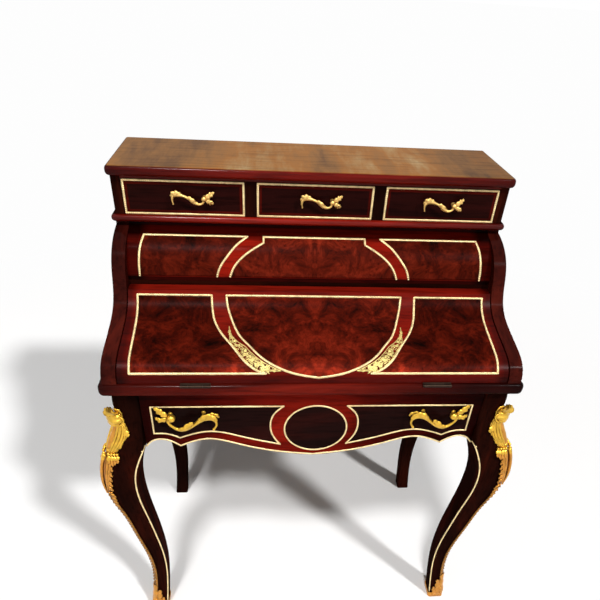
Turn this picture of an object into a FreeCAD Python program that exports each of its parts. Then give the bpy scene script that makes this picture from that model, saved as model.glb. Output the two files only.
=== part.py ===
import FreeCAD, Part
import math
import os

# A bonheur du jour: a small writing desk on four cabriole legs. Millimetres, +Z up, the front
# looks along -Y, the origin on the floor at the middle of the overall width and depth.

# Heights, from the floor upwards.
WRITING_HEIGHT = 774.0
BOARD_THICK = 26.0
BULGE_HEIGHT = 208.0
WAIST_THICK = 14.0
BAY_HEIGHT = 78.0
TOP_THICK = 20.0

# Widths across the front. Depths start at the front datum, the line of the desk board's top.
SIDE_WIDTH = 800.0
SIDE_THICK = 26.0
SIDE_SETBACK = 276.0
BOARD_OVERHANG = 10.0
BOARD_NOSE = 3.0
CARCASS_DEPTH = 463.0
KNEE_REACH = 17.25
WAIST_OVERHANG = 6.5
WAIST_NOSE = 13.0
CASE_INSET = 3.0
CASE_NOSE = 5.5
CASE_THICK = 18.0
TOP_OVERHANG = 6.5
TOP_NOSE = 14.0
BACK_THICK = 8.0

# Edge mouldings: the plan radius of a corner and the radius of the rounded edge.
BOARD_CORNER = 12.0
BOARD_EDGE = 9.0
WAIST_CORNER = 9.0
WAIST_EDGE = 6.5
TOP_CORNER = 10.0
TOP_EDGE = 8.0
CASE_COVE = 6.0

# The side's front curve, as shares of its setback and of its height.
SIDE_CURVE = [
    (0.011, 0.045), (0.029, 0.115), (0.069, 0.173), (0.185, 0.231), (0.391, 0.288), (0.522, 0.346),
    (0.583, 0.404), (0.638, 0.519), (0.685, 0.692), (0.745, 0.808), (0.891, 0.923), (1.0, 0.957),
]

# The fixed panel above the flap, its outer curve in the same shares.
PANEL_CURVE = [
    (0.728, 0.543), (0.739, 0.625), (0.764, 0.721), (0.812, 0.817), (0.891, 0.904), (0.985, 0.966),
]
PANEL_THICK = 12.0
STOP_RAIL_THICK = 12.0
STOP_RAIL_HEIGHT = 22.0
STOP_GAP = 1.0

# The flap and its hinges.
FLAP_SHARE = 0.5
FLAP_RECESS = 2.0
FLAP_SIDE_GAP = 2.0
FLAP_FOOT_GAP = 0.4
FLAP_SLOPE = 21.0
FLAP_LIP = 8.0
FLAP_LEDGE = 25.0
LEATHER_THICK = 1.2
LEATHER_MARGIN = 38.0
HINGE_SPACING = 462.0
HINGE_LENGTH = 56.0
HINGE_LEAF = 20.0
HINGE_FORWARD = 1.0
LEAF_THICK = 1.6
BARREL_RADIUS = 3.0
PIN_RADIUS = 1.2
RUNNING_FIT = 0.05
KNUCKLE_GAP = 0.3
NOTCH_GAP = 0.4
SCREW_RADIUS = 1.1
SCREW_HEAD = 2.4
SCREW_LENGTH = 9.0
SCREWS_PER_LEAF = 3

# The stand.
HEAD_SIZE = 50.0
LEG_INSET = 5.0
FRIEZE_SETBACK = 22.0
REAR_INSET = 11.0
LEG_ROUND = 5.0
FRONT_SWELL = 0.9
# Each station of a leg: share of its length from the floor, outward reach, width.
FRONT_LEG = [
    (0.0, 2.0, 38.0), (0.1, -8.0, 35.0), (0.21, -12.0, 36.0), (0.31, -6.0, 41.0), (0.42, 6.0, 47.0),
    (0.53, 18.0, 51.0), (0.635, 33.0, 61.0), (0.727, 35.0, 68.5), (0.79, 28.0, 74.0), (0.83, 20.0, 69.0),
    (0.87, 8.0, 57.0), (0.91, 0.0, HEAD_SIZE),
]
REAR_LEG = [
    (0.0, -9.0, 36.0), (0.1, -16.0, 34.0), (0.21, -19.0, 35.0), (0.31, -14.0, 37.0), (0.42, -4.0, 40.0),
    (0.53, 6.0, 44.0), (0.635, 14.0, 50.0), (0.727, 16.0, 56.0), (0.82, 9.0, 58.0), (0.91, 0.0, HEAD_SIZE),
]
LEG_SECTION_COUNT = 34
MOUNT_SECTION_COUNT = 14
SABOT_SECTION_COUNT = 4
APRON_THICK = 18.0
APRON_INSET = 4.0
SIDE_APRON_DROP = 134.0
SIDE_APRON_BELLY = 20.0
BACK_APRON_DROP = 100.0
FRIEZE_RAIL = 12.0
RAIL_SETBACK = 2.0
RAIL_DEPTH = 40.0
RUNNER_THICK = 10.0
RUNNER_LEDGE = 22.0
KICKER_WIDTH = 20.0

# Gilt mounts on the front legs: share of the leg's length, arm along each face, thickness.
KNEE_MOUNT = [
    (0.50, 8.0, 3.0), (0.58, 13.0, 4.5), (0.66, 19.0, 6.0), (0.72, 30.0, 7.0), (0.77, 26.0, 6.0),
    (0.83, 36.0, 6.5), (0.88, 42.0, 7.0), (0.93, 30.0, 7.5), (0.955, 27.0, 9.0),
]
ARRIS_MOUNT = [
    (0.1, 6.0, 2.0), (0.21, 6.0, 2.0), (0.31, 6.0, 2.0), (0.42, 7.0, 2.0), (0.495, 8.0, 2.5),
]
MOUNT_SINK = 4.0
SABOT_SHARE = 0.095
SABOT_THICK = 2.2
STRING_WIDTH = 4.5
STRING_THICK = 1.0
CURVED_SEAT = 0.2

# The frieze drawer.
FRIEZE_GAP = 1.0
FRIEZE_END_GAP = 1.5
FRIEZE_THICK = 22.0
FRIEZE_BACK_GAP = 1.0
FRIEZE_BOX_HEIGHT = 86.0
FRIEZE_BOX_SIDE = 12.0
FRIEZE_BOX_INSET = 10.0
# The scalloped edge on one half: share of its length from the middle, drop below the desk board.
APRON_BELLY = [(0.0, 180.5), (0.233, 169.5), (0.466, 146.5), (0.635, 132.0), (0.8, 150.5)]
APRON_ARCH = [(0.8, 150.5), (0.859, 136.5), (0.917, 131.5), (0.9665, 137.0)]
APRON_END_DROP = 150.0
# One stringed field, in the same measures: its curved inner end and its lower edge.
FIELD_MARGIN = 18.5
FIELD_TOP = 44.5
FIELD_INNER = [(0.188, FIELD_TOP), (0.2445, 66.0), (0.2635, 93.5), (0.2475, 124.0), (0.204, 148.5)]
FIELD_BELLY = [(0.204, 148.5), (0.422, 127.0), (0.62, 110.0), (0.799, 126.7)]
FIELD_SCALLOP = [(0.799, 126.7), (0.8675, 116.0)]
FIELD_END_DROP = 114.5
RING_DROP = 105.0
RING_RADIUS = 63.0

# The three small drawers.
DIVIDER_THICK = 21.0
BAY_RAIL = 6.0
RAIL_WIDTH = 40.0
SMALL_GAP = 1.0
SMALL_FRONT = 18.0
SMALL_SIDE = 9.0
SMALL_BACK_GAP = 10.0
BOTTOM_THICK = 5.0
SLIDE_GAP = 0.3
BEAD_WIDTH = 4.5
BEAD_THICK = 1.5
# How far each handle sits to the right of its drawer's middle.
HANDLE_SHIFTS = {"left": 15.0, "middle": 9.0, "right": 0.0}

# Handles: a scrolled bar on two posts. The frieze handles are the larger.
SMALL_HANDLE = 86.0
FRIEZE_HANDLE = 126.0
FRIEZE_HANDLE_SHARE = 0.748
FRIEZE_HANDLE_DROP = 73.0
HANDLE_STAND = 12.0
HANDLE_THICK = 6.0
POST_RADIUS = 3.5
STUD_RADIUS = 2.0
STUD_LENGTH = 8.0
# The bar's outline and its posts' places, in shares of half the handle's length.
HANDLE_OUTLINE = [
    (-1.0, -0.2), (-0.98, 0.12), (-0.8, 0.3), (-0.5, 0.22), (-0.1, -0.08), (0.3, -0.16), (0.62, 0.08),
    (0.96, 0.24), (1.0, 0.1), (0.84, -0.16), (0.5, -0.34), (0.1, -0.36), (-0.3, -0.14), (-0.62, 0.04),
    (-0.86, -0.06), (-0.94, -0.3),
]
HANDLE_POSTS = [(-0.72, 0.16), (0.68, -0.06)]

# Pigeonholes behind the flap.
PARTITION_THICK = 10.0
PARTITION_SETBACK = 20.0
PIGEONHOLE_HEIGHT = 92.0
CEILING_THICK = 8.0

# Stringing on the flap and the panel: distance from the middle, share of the bulge's height.
FLAP_FIELD_TOP = 0.462
FLAP_FIELD_FOOT = 0.096
FLAP_FIELD_MARGIN = 20.0
FLAP_SIDE_ARC = [
    (208.0, FLAP_FIELD_TOP), (206.5, 0.365), (203.0, 0.317), (186.0, 0.264), (152.0, 0.209),
    (114.0, 0.12), (100.0, FLAP_FIELD_FOOT),
]
FLAP_CENTRE_ARC = [
    (184.0, FLAP_FIELD_TOP), (177.0, 0.375), (162.0, 0.286), (133.0, 0.233), (88.0, 0.163),
    (48.0, 0.103), (0.0, 0.065),
]
FILIGREE_FOOT = 0.125
FILIGREE_TOP = 0.298
FILIGREE_GAP = 1.5
FILIGREE_THICK = 0.8
PANEL_FIELD_TOP = 0.911
PANEL_FIELD_FOOT = 0.563
PANEL_FIELD_MARGIN = 25.0
PANEL_SIDE_ARC = [
    (137.0, PANEL_FIELD_TOP), (160.0, 0.851), (179.0, 0.76), (193.0, 0.663), (199.0, PANEL_FIELD_FOOT),
]
PANEL_CENTRE_ARC = [
    (104.5, 0.873), (128.0, 0.822), (148.0, 0.76), (165.0, 0.668), (174.0, PANEL_FIELD_FOOT),
]

# Datum planes worked out from the sizes above.
BOARD_WIDTH = SIDE_WIDTH + 2 * BOARD_OVERHANG
WAIST_WIDTH = SIDE_WIDTH + 2 * WAIST_OVERHANG
CASE_WIDTH = SIDE_WIDTH - 2 * CASE_INSET
TOP_WIDTH = CASE_WIDTH + 2 * TOP_OVERHANG
LEG_SPREAD = SIDE_WIDTH - 2 * LEG_INSET
FRONT_Y = KNEE_REACH - (CARCASS_DEPTH + KNEE_REACH) / 2
BACK_Y = FRONT_Y + CARCASS_DEPTH
LEG_TOP = WRITING_HEIGHT - BOARD_THICK
WAIST_Z = WRITING_HEIGHT + BULGE_HEIGHT
BAY_Z = WAIST_Z + WAIST_THICK
TOP_Z = BAY_Z + BAY_HEIGHT
SIDE_INNER = SIDE_WIDTH / 2 - SIDE_THICK
CARCASS_BACK = BACK_Y - BACK_THICK
FRIEZE_Y = FRONT_Y + FRIEZE_SETBACK
REAR_Y = BACK_Y - REAR_INSET
BACK_APRON_Y = REAR_Y - APRON_INSET - APRON_THICK
CASE_Y = FRONT_Y + SIDE_SETBACK - CASE_NOSE
SEAM_Z = WRITING_HEIGHT + FLAP_SHARE * BULGE_HEIGHT
LIP_Y = FRONT_Y + FLAP_LIP
SLOPE = math.radians(FLAP_SLOPE)
HINGE_Y = FRONT_Y - HINGE_FORWARD
HINGE_Z = WRITING_HEIGHT - (FLAP_LIP + HINGE_FORWARD) * math.tan(SLOPE / 2)
FRIEZE_TOP = LEG_TOP - FRIEZE_RAIL - FRIEZE_GAP
FRIEZE_HALF = LEG_SPREAD / 2 - HEAD_SIZE - FRIEZE_END_GAP
# The share of a front leg's length at which its inner edge meets the frieze.
APRON_SHARE = (LEG_TOP - APRON_END_DROP) / LEG_TOP

# For the drawing itself: a reach past every piece, an overcut, and the fineness of curves.
FAR = 1200.0
OVERCUT = 1.0
TOUCH = 1e-6
BISECTIONS = 40
CURVE_POINTS = 30
OFFSET_POINTS = 12


def vec(x, y, z):
    return FreeCAD.Vector(x, y, z)


def block(x0, x1, y0, y1, z0, z1):
    """A board between two opposite corners."""
    corner = vec(min(x0, x1), min(y0, y1), min(z0, z1))
    return Part.makeBox(abs(x1 - x0), abs(y1 - y0), abs(z1 - z0), corner)


def mirrored(shape):
    return shape.mirror(vec(0, 0, 0), vec(1, 0, 0))


def spline(points):
    curve = Part.BSplineCurve()
    curve.interpolate(points)
    return curve


def offset_spline(curve, distance):
    """A curve in a YZ plane moved sideways, outwards for a positive distance."""
    points = []
    for step in range(CURVE_POINTS + 1):
        at = curve.FirstParameter + (curve.LastParameter - curve.FirstParameter) * step / CURVE_POINTS
        tangent = curve.tangent(at)[0]
        points.append(curve.value(at) + vec(0, -tangent.z, tangent.y) * distance)
    return spline(points)


def outline(edges):
    return Part.Wire(Part.__sortEdges__(edges))


def prism_x(edges, x0, x1):
    """A solid from an outline drawn at X = 0 and drawn out from x0 to x1."""
    face = Part.Face(outline(edges))
    face.translate(vec(x0, 0, 0))
    return face.extrude(vec(x1 - x0, 0, 0))


def closed_by(curve, corners):
    """A curve whose ends are joined through the given corners."""
    start = curve.value(curve.FirstParameter)
    end = curve.value(curve.LastParameter)
    chain = [end] + corners + [start]
    edges = [curve.toShape()]
    for first, second in zip(chain, chain[1:]):
        if first.distanceToPoint(second) > TOUCH:
            edges.append(Part.makeLine(first, second))
    return edges


def moulded_board(half, y0, y1, z0, z1, corner, edge):
    """A board with rounded front corners and a rounded edge along the front and both ends."""
    board = block(-half, half, y0, y1, z0, z1)
    upright = []
    for line in board.Edges:
        box = line.BoundBox
        if box.ZLength > edge and abs(box.YMax - y0) < TOUCH:
            upright.append(line)
    board = board.makeFillet(corner, upright)
    rims = []
    for line in board.Edges:
        box = line.BoundBox
        at_back = abs(box.YMin - y1) < TOUCH
        if box.ZLength < TOUCH and not at_back:
            rims.append(line)
    return board.makeFillet(edge, rims)


# --- the stand -------------------------------------------------------------------------------

def along(stations, share):
    """The two sizes of a row of stations at any share of the leg, on a smooth curve."""
    if share >= stations[-1][0]:
        return stations[-1][1:]
    curve = spline([vec(at * LEG_TOP, first, second) for at, first, second in stations])
    low, high = curve.FirstParameter, curve.LastParameter
    for _ in range(BISECTIONS):
        middle = (low + high) / 2
        if curve.value(middle).x < share * LEG_TOP:
            low = middle
        else:
            high = middle
    point = curve.value(low)
    return point.y, point.z


def leg_corner(share, rear):
    """Outer X, front Y, inner X, back Y of a right-hand leg at a share of its length."""
    reach, width = along(REAR_LEG if rear else FRONT_LEG, share)
    outer = LEG_SPREAD / 2 + reach
    if rear:
        return outer, REAR_Y - width, outer - width, REAR_Y
    front = FRIEZE_Y - FRONT_SWELL * reach
    return outer, front, outer - width, front + width


def arc_inset(radius):
    """How far a quarter circle's middle lies inside the corner that it rounds."""
    return radius * (1 - math.sqrt(0.5))


def rounded_square(x0, x1, y0, y1, z, radius):
    mid = arc_inset(radius)
    edges = [
        Part.makeLine(vec(x0 + radius, y0, z), vec(x1 - radius, y0, z)),
        Part.Arc(vec(x1 - radius, y0, z), vec(x1 - mid, y0 + mid, z), vec(x1, y0 + radius, z)).toShape(),
        Part.makeLine(vec(x1, y0 + radius, z), vec(x1, y1 - radius, z)),
        Part.Arc(vec(x1, y1 - radius, z), vec(x1 - mid, y1 - mid, z), vec(x1 - radius, y1, z)).toShape(),
        Part.makeLine(vec(x1 - radius, y1, z), vec(x0 + radius, y1, z)),
        Part.Arc(vec(x0 + radius, y1, z), vec(x0 + mid, y1 - mid, z), vec(x0, y1 - radius, z)).toShape(),
        Part.makeLine(vec(x0, y1 - radius, z), vec(x0, y0 + radius, z)),
        Part.Arc(vec(x0, y0 + radius, z), vec(x0 + mid, y0 + mid, z), vec(x0 + radius, y0, z)).toShape(),
    ]
    return Part.Wire(edges)


def shares_between(low, high, count):
    return [low + (high - low) * index / count for index in range(count + 1)]


def make_leg(rear):
    """A right-hand cabriole leg with its square head."""
    sections = []
    for share in shares_between(0.0, 1.0, LEG_SECTION_COUNT):
        outer, front, inner, back = leg_corner(share, rear)
        sections.append(rounded_square(inner, outer, front, back, share * LEG_TOP, LEG_ROUND))
    return Part.makeLoft(sections, True, False)


def arris_loft(stations, leg):
    """A gilt casting wrapped round the outer corner of a front leg."""
    sections = []
    for share in shares_between(stations[0][0], stations[-1][0], MOUNT_SECTION_COUNT):
        arm, thick = along(stations, share)
        outer, front, inner, back = leg_corner(share, False)
        z = share * LEG_TOP
        sections.append(Part.makePolygon([
            vec(outer + thick, front - thick, z), vec(outer + thick, front + arm, z),
            vec(outer - MOUNT_SINK, front + arm, z), vec(outer - MOUNT_SINK, front + MOUNT_SINK, z),
            vec(outer - arm, front + MOUNT_SINK, z), vec(outer - arm, front - thick, z),
            vec(outer + thick, front - thick, z),
        ]))
    return largest(Part.makeLoft(sections, True, False).cut(leg))


def largest(shape):
    """The biggest solid left by a cut."""
    return max(shape.Solids, key=lambda solid: solid.Volume)


def drilled(shape, tools):
    """A shape with other shapes taken out of it."""
    for tool in tools:
        shape = shape.cut(tool)
    return shape


def make_sabot(leg):
    """A gilt shoe round the foot of a front leg."""
    sections = []
    for share in shares_between(0.0, SABOT_SHARE, SABOT_SECTION_COUNT):
        outer, front, inner, back = leg_corner(share, False)
        grow = SABOT_THICK
        sections.append(rounded_square(
            inner - grow, outer + grow, front - grow, back + grow, share * LEG_TOP, LEG_ROUND + grow))
    return largest(Part.makeLoft(sections, True, False).cut(leg))


def make_leg_string():
    """The brass line down the inner front edge of a front leg, from the apron to the sabot."""
    sections = []
    for share in shares_between(0.0, 1.0, LEG_SECTION_COUNT):
        outer, front, inner, back = leg_corner(share, False)
        z = share * LEG_TOP
        x0 = inner + LEG_ROUND
        x1 = x0 + STRING_WIDTH
        y1 = front - CURVED_SEAT
        y0 = y1 - STRING_THICK
        corners = [vec(x0, y0, z), vec(x1, y0, z), vec(x1, y1, z), vec(x0, y1, z)]
        sections.append(Part.makePolygon(corners + corners[:1]))
    strip = Part.makeLoft(sections, True, False)
    length = block(-FAR, FAR, -FAR, FAR, SABOT_SHARE * LEG_TOP, APRON_SHARE * LEG_TOP)
    return largest(strip.common(length))


def make_side_apron(legs):
    """The shaped rail between a front and a rear leg."""
    outer = LEG_SPREAD / 2 - APRON_INSET
    y0 = FRIEZE_Y + HEAD_SIZE / 2
    y1 = REAR_Y - HEAD_SIZE / 2
    foot = LEG_TOP - SIDE_APRON_DROP
    middle = (y0 + y1) / 2
    quarter = (y1 - y0) / 4
    curve = spline([
        vec(0, y0, foot - 2 * SIDE_APRON_BELLY), vec(0, middle - quarter, foot),
        vec(0, middle, foot - SIDE_APRON_BELLY), vec(0, middle + quarter, foot),
        vec(0, y1, foot - 2 * SIDE_APRON_BELLY),
    ])
    rail = prism_x(closed_by(curve, [vec(0, y1, LEG_TOP), vec(0, y0, LEG_TOP)]), outer - APRON_THICK, outer)
    return largest(drilled(rail, legs))


def make_back_apron(legs):
    half = LEG_SPREAD / 2 - HEAD_SIZE / 2
    y0 = BACK_APRON_Y
    rail = block(-half, half, y0, y0 + APRON_THICK, LEG_TOP - BACK_APRON_DROP, LEG_TOP)
    return largest(drilled(rail, legs))


def make_frieze_rail(legs):
    half = LEG_SPREAD / 2 - HEAD_SIZE / 2
    y0 = FRIEZE_Y + RAIL_SETBACK
    rail = block(-half, half, y0, y0 + RAIL_DEPTH, LEG_TOP - FRIEZE_RAIL, LEG_TOP)
    return largest(drilled(rail, legs))


def make_runners(legs):
    """A runner, a guide and a kicker on each side, which carry, steer and steady the drawer."""
    wall = LEG_SPREAD / 2 - APRON_INSET - APRON_THICK
    guide = FRIEZE_HALF - FRIEZE_BOX_INSET + SLIDE_GAP
    y0 = FRIEZE_Y + FRIEZE_THICK + SLIDE_GAP
    y1 = BACK_APRON_Y
    kicker_y = FRIEZE_Y + RAIL_SETBACK + RAIL_DEPTH
    seat = frieze_box_foot() - SLIDE_GAP
    guide_top = seat + FRIEZE_BOX_HEIGHT / 2
    kicker_foot = frieze_box_foot() + FRIEZE_BOX_HEIGHT + SLIDE_GAP
    pieces = []
    for side in (1, -1):
        runner = block(side * (guide - RUNNER_LEDGE), side * wall, y0, y1, seat - RUNNER_THICK, seat)
        steering = block(side * guide, side * wall, y0, y1, seat, guide_top)
        pieces += [largest(drilled(piece, legs)) for piece in (runner, steering)]
        pieces.append(block(side * (guide - KICKER_WIDTH), side * guide, kicker_y, y1, kicker_foot, LEG_TOP))
    return Part.makeCompound(pieces)


# --- the desk board and the carcass ------------------------------------------------------------

def make_desk_board(notches):
    board = moulded_board(
        BOARD_WIDTH / 2, FRONT_Y - BOARD_NOSE, BACK_Y, LEG_TOP, WRITING_HEIGHT, BOARD_CORNER, BOARD_EDGE)
    return drilled(board, notches)


def curve_at(shares):
    return spline([vec(0, FRONT_Y + a * SIDE_SETBACK, WRITING_HEIGHT + b * BULGE_HEIGHT) for a, b in shares])


def bulge(inset, x0, x1):
    """The space behind the side's front curve, moved back by an inset."""
    curve = offset_spline(curve_at(SIDE_CURVE), -inset) if inset else curve_at(SIDE_CURVE)
    start = curve.value(curve.FirstParameter)
    end = curve.value(curve.LastParameter)
    corners = [
        vec(0, end.y, WAIST_Z), vec(0, CARCASS_BACK, WAIST_Z), vec(0, CARCASS_BACK, WRITING_HEIGHT),
        vec(0, start.y, WRITING_HEIGHT),
    ]
    return prism_x(closed_by(curve, corners), x0, x1)


def make_side():
    return bulge(0, SIDE_INNER, SIDE_WIDTH / 2)


def panel_outer():
    return curve_at(PANEL_CURVE)


def make_upper_panel():
    """The convex veneered panel between the sides, above the flap."""
    outer = panel_outer()
    inner = offset_spline(outer, -PANEL_THICK)
    first = outer.value(outer.FirstParameter)
    last = outer.value(outer.LastParameter)
    inner_first = inner.value(inner.FirstParameter)
    inner_last = inner.value(inner.LastParameter)
    edges = [
        outer.toShape(), inner.toShape(), Part.makeLine(first, inner_first),
        Part.makeLine(last, vec(0, last.y, WAIST_Z)),
        Part.makeLine(vec(0, last.y, WAIST_Z), vec(0, inner_last.y, WAIST_Z)),
        Part.makeLine(vec(0, inner_last.y, WAIST_Z), inner_last),
    ]
    return prism_x(edges, -SIDE_INNER, SIDE_INNER)


def make_stop_rail(panel):
    """The rail behind the flap's top edge, which the flap closes on and the panel stands on."""
    y1 = stop_rail_back()
    z1 = panel_outer().value(panel_outer().FirstParameter).z
    rail = block(-SIDE_INNER, SIDE_INNER, y1 - STOP_RAIL_THICK, y1, z1 - STOP_RAIL_HEIGHT, z1)
    return largest(rail.cut(panel))


def make_back_panel():
    half = CASE_WIDTH / 2
    return block(-half, half, CARCASS_BACK, BACK_Y, WRITING_HEIGHT, TOP_Z)


def stop_rail_back():
    return ledge_back() + STOP_GAP + STOP_RAIL_THICK


def make_partition(x):
    half = PARTITION_THICK / 2
    y0 = stop_rail_back() + PARTITION_SETBACK
    return block(x - half, x + half, y0, CARCASS_BACK, WRITING_HEIGHT, WRITING_HEIGHT + PIGEONHOLE_HEIGHT)


def make_ceiling():
    z0 = WRITING_HEIGHT + PIGEONHOLE_HEIGHT
    return block(-SIDE_INNER, SIDE_INNER, stop_rail_back(), CARCASS_BACK, z0, z0 + CEILING_THICK)


def make_waist_board():
    y0 = FRONT_Y + SIDE_SETBACK - WAIST_NOSE
    return moulded_board(WAIST_WIDTH / 2, y0, CARCASS_BACK, WAIST_Z, BAY_Z, WAIST_CORNER, WAIST_EDGE)


def make_case_side():
    """An upright of the drawer case, with a small cove where it meets the waist board."""
    inner = CASE_WIDTH / 2 - CASE_THICK
    outer = CASE_WIDTH / 2
    bend = arc_inset(CASE_COVE)
    cove = Part.Arc(
        vec(outer, CASE_Y, BAY_Z + CASE_COVE), vec(outer + bend, CASE_Y, BAY_Z + bend),
        vec(outer + CASE_COVE, CASE_Y, BAY_Z))
    corners = [vec(inner, CASE_Y, BAY_Z), vec(inner, CASE_Y, TOP_Z), vec(outer, CASE_Y, TOP_Z)]
    face = Part.Face(outline(closed_by(cove, corners)))
    return face.extrude(vec(0, CARCASS_BACK - CASE_Y, 0))


def make_divider(x):
    half = DIVIDER_THICK / 2
    return block(x - half, x + half, CASE_Y, CARCASS_BACK, BAY_Z, TOP_Z - BAY_RAIL)


def make_case_rail():
    half = CASE_WIDTH / 2 - CASE_THICK
    return block(-half, half, CASE_Y, CASE_Y + RAIL_WIDTH, TOP_Z - BAY_RAIL, TOP_Z)


def make_top_board():
    y0 = CASE_Y - TOP_NOSE
    return moulded_board(TOP_WIDTH / 2, y0, BACK_Y, TOP_Z, TOP_Z + TOP_THICK, TOP_CORNER, TOP_EDGE)


# --- stringing on flat and curved faces ---------------------------------------------------------

def edge_through(points):
    """A straight line through two points, or a smooth curve through more."""
    if len(points) == 2:
        return Part.makeLine(*points)
    return spline(points).toShape()


def wire_xz(paths):
    """A closed outline in the plane Y = 0 from runs of points."""
    return Part.Wire([edge_through([vec(x, 0, z) for x, z in path]) for path in paths])


def inset_wire(wire, width):
    """A closed outline moved inwards, with each curve drawn afresh through a few of its points."""
    edges = []
    for edge in wire.makeOffset2D(-width).OrderedEdges:
        straight = isinstance(edge.Curve, Part.Line)
        edges.append(edge_through(edge.discretize(2 if straight else OFFSET_POINTS)))
    return Part.Wire(edges)


def band_of(wire, width, y0, y1):
    """A band that follows a closed outline on its inner side, drawn out along Y."""
    outer = drawn_y(Part.Face(wire), y0, y1)
    return outer.cut(drawn_y(Part.Face(inset_wire(wire, width)), y0 - OVERCUT, y1 + OVERCUT))


def line_on(layer, wire):
    """The stringing that follows an outline on a curved panel's face."""
    return layer.common(band_of(wire, STRING_WIDTH, FRONT_Y, BACK_Y)).Solids


def both_sides(solids):
    return solids + [mirrored(solid) for solid in solids]


def drawn_y(face, y0, y1):
    copy = face.copy()
    copy.translate(vec(0, y0, 0))
    return copy.extrude(vec(0, y1 - y0, 0))


def bulge_z(share):
    return WRITING_HEIGHT + share * BULGE_HEIGHT


def over_board(points):
    return [(x, bulge_z(share)) for x, share in points]


def on_frieze(points):
    """Points of the frieze drawer's right half, from shares of its length and drops below the board."""
    return [(share * FRIEZE_HALF, LEG_TOP - drop) for share, drop in points]


def skin(curve, thick):
    """A thin layer laid on a profile curve with a hair's gap, from side panel to side panel."""
    inner = offset_spline(curve, CURVED_SEAT)
    outer = offset_spline(curve, CURVED_SEAT + thick)
    edges = [inner.toShape(), outer.toShape()]
    edges.append(Part.makeLine(inner.value(inner.FirstParameter), outer.value(outer.FirstParameter)))
    edges.append(Part.makeLine(inner.value(inner.LastParameter), outer.value(outer.LastParameter)))
    return prism_x(edges, -SIDE_INNER, SIDE_INNER)


def side_field_wire(arc, outer):
    """A field between a curved inner edge and the outer end of a panel."""
    arc = over_board(arc)
    top = (outer, arc[0][1])
    foot = (outer, arc[-1][1])
    return wire_xz([arc, [arc[-1], foot], [foot, top], [top, arc[0]]])


def both_ways(points):
    """A half outline joined to its mirror image."""
    return [(-x, z) for x, z in points] + [(x, z) for x, z in reversed(points) if x > 0]


def make_flap_stringing(flap_curve):
    layer = skin(flap_curve, STRING_THICK)
    side = line_on(layer, side_field_wire(FLAP_SIDE_ARC, SIDE_INNER - FLAP_FIELD_MARGIN))
    arc = both_ways(over_board(FLAP_CENTRE_ARC))
    centre = line_on(layer, wire_xz([arc, [arc[-1], arc[0]]]))
    return Part.makeCompound(both_sides(side) + centre)


def make_filigree(flap_curve):
    """Two crescents of pierced brass between the fields of the flap."""
    layer = skin(flap_curve, FILIGREE_THICK)
    outer = [(x - FILIGREE_GAP, z) for x, z in over_board(FLAP_SIDE_ARC)]
    inner = [(x + FILIGREE_GAP, z - FILIGREE_GAP) for x, z in over_board(FLAP_CENTRE_ARC[:-1])]
    face = Part.Face(wire_xz([outer, [outer[-1], inner[-1]], inner[::-1], [inner[0], outer[0]]]))
    window = block(0, FAR, -FAR, FAR, bulge_z(FILIGREE_FOOT), bulge_z(FILIGREE_TOP))
    crescent = layer.common(drawn_y(face, FRONT_Y, BACK_Y)).common(window)
    return Part.makeCompound(both_sides(crescent.Solids))


def make_panel_stringing():
    layer = skin(panel_outer(), STRING_THICK)
    side = line_on(layer, side_field_wire(PANEL_SIDE_ARC, SIDE_INNER - PANEL_FIELD_MARGIN))
    right = over_board(PANEL_CENTRE_ARC)
    left = [(-x, z) for x, z in right]
    top_right = (right[0][0], bulge_z(PANEL_FIELD_TOP))
    top_left = (left[0][0], bulge_z(PANEL_FIELD_TOP))
    centre = line_on(layer, wire_xz([
        [top_left, top_right], [top_right, right[0]], right, [right[-1], left[-1]], left[::-1],
        [left[0], top_left],
    ]))
    return Part.makeCompound(both_sides(side) + centre)


# --- the flap ----------------------------------------------------------------------------------

def ledge_back():
    """Y of the back of the ledge along the flap's top edge."""
    curve = curve_at(SIDE_CURVE)
    low, high = curve.FirstParameter, curve.LastParameter
    for _ in range(BISECTIONS):
        middle = (low + high) / 2
        if curve.value(middle).z < SEAM_Z:
            low = middle
        else:
            high = middle
    return curve.value(low).y + FLAP_LEDGE


def on_inner_face(shape):
    """Moves a shape drawn along +Y from the lip, with +Z into the wood, onto the sloping face."""
    shape.rotate(vec(0, 0, 0), vec(1, 0, 0), FLAP_SLOPE)
    shape.translate(vec(0, LIP_Y, WRITING_HEIGHT))
    return shape


def make_flap():
    half = SIDE_INNER - FLAP_SIDE_GAP
    solid = bulge(FLAP_RECESS, -half, half)
    window = block(-half, half, FRONT_Y - FAR, ledge_back(), WRITING_HEIGHT + FLAP_FOOT_GAP, SEAM_Z)
    under = on_inner_face(block(-half - OVERCUT, half + OVERCUT, -FAR, FAR, -FAR, 0))
    return largest(solid.common(window).cut(under))


def make_leather():
    half = SIDE_INNER - FLAP_SIDE_GAP - LEATHER_MARGIN
    length = (ledge_back() - LIP_Y) / math.cos(SLOPE)
    return on_inner_face(block(-half, half, LEATHER_MARGIN, length - LEATHER_MARGIN / 2, 0, LEATHER_THICK))


def hinge_barrel(x0, x1, radius):
    return Part.makeCylinder(radius, x1 - x0, vec(x0, HINGE_Y, HINGE_Z), vec(1, 0, 0))


def leaf_plate(x0, x1, turned):
    """A hinge leaf drawn flat behind the pin, under the axis, or turned up onto the flap."""
    reach = BARREL_RADIUS + KNUCKLE_GAP
    if turned:
        plate = block(x0, x1, reach, HINGE_LEAF, 0, LEAF_THICK)
        plate.rotate(vec(0, 0, 0), vec(1, 0, 0), FLAP_SLOPE)
    else:
        plate = block(x0, x1, reach, HINGE_LEAF, -LEAF_THICK, 0)
    plate.translate(vec(0, HINGE_Y, HINGE_Z))
    return plate


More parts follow.
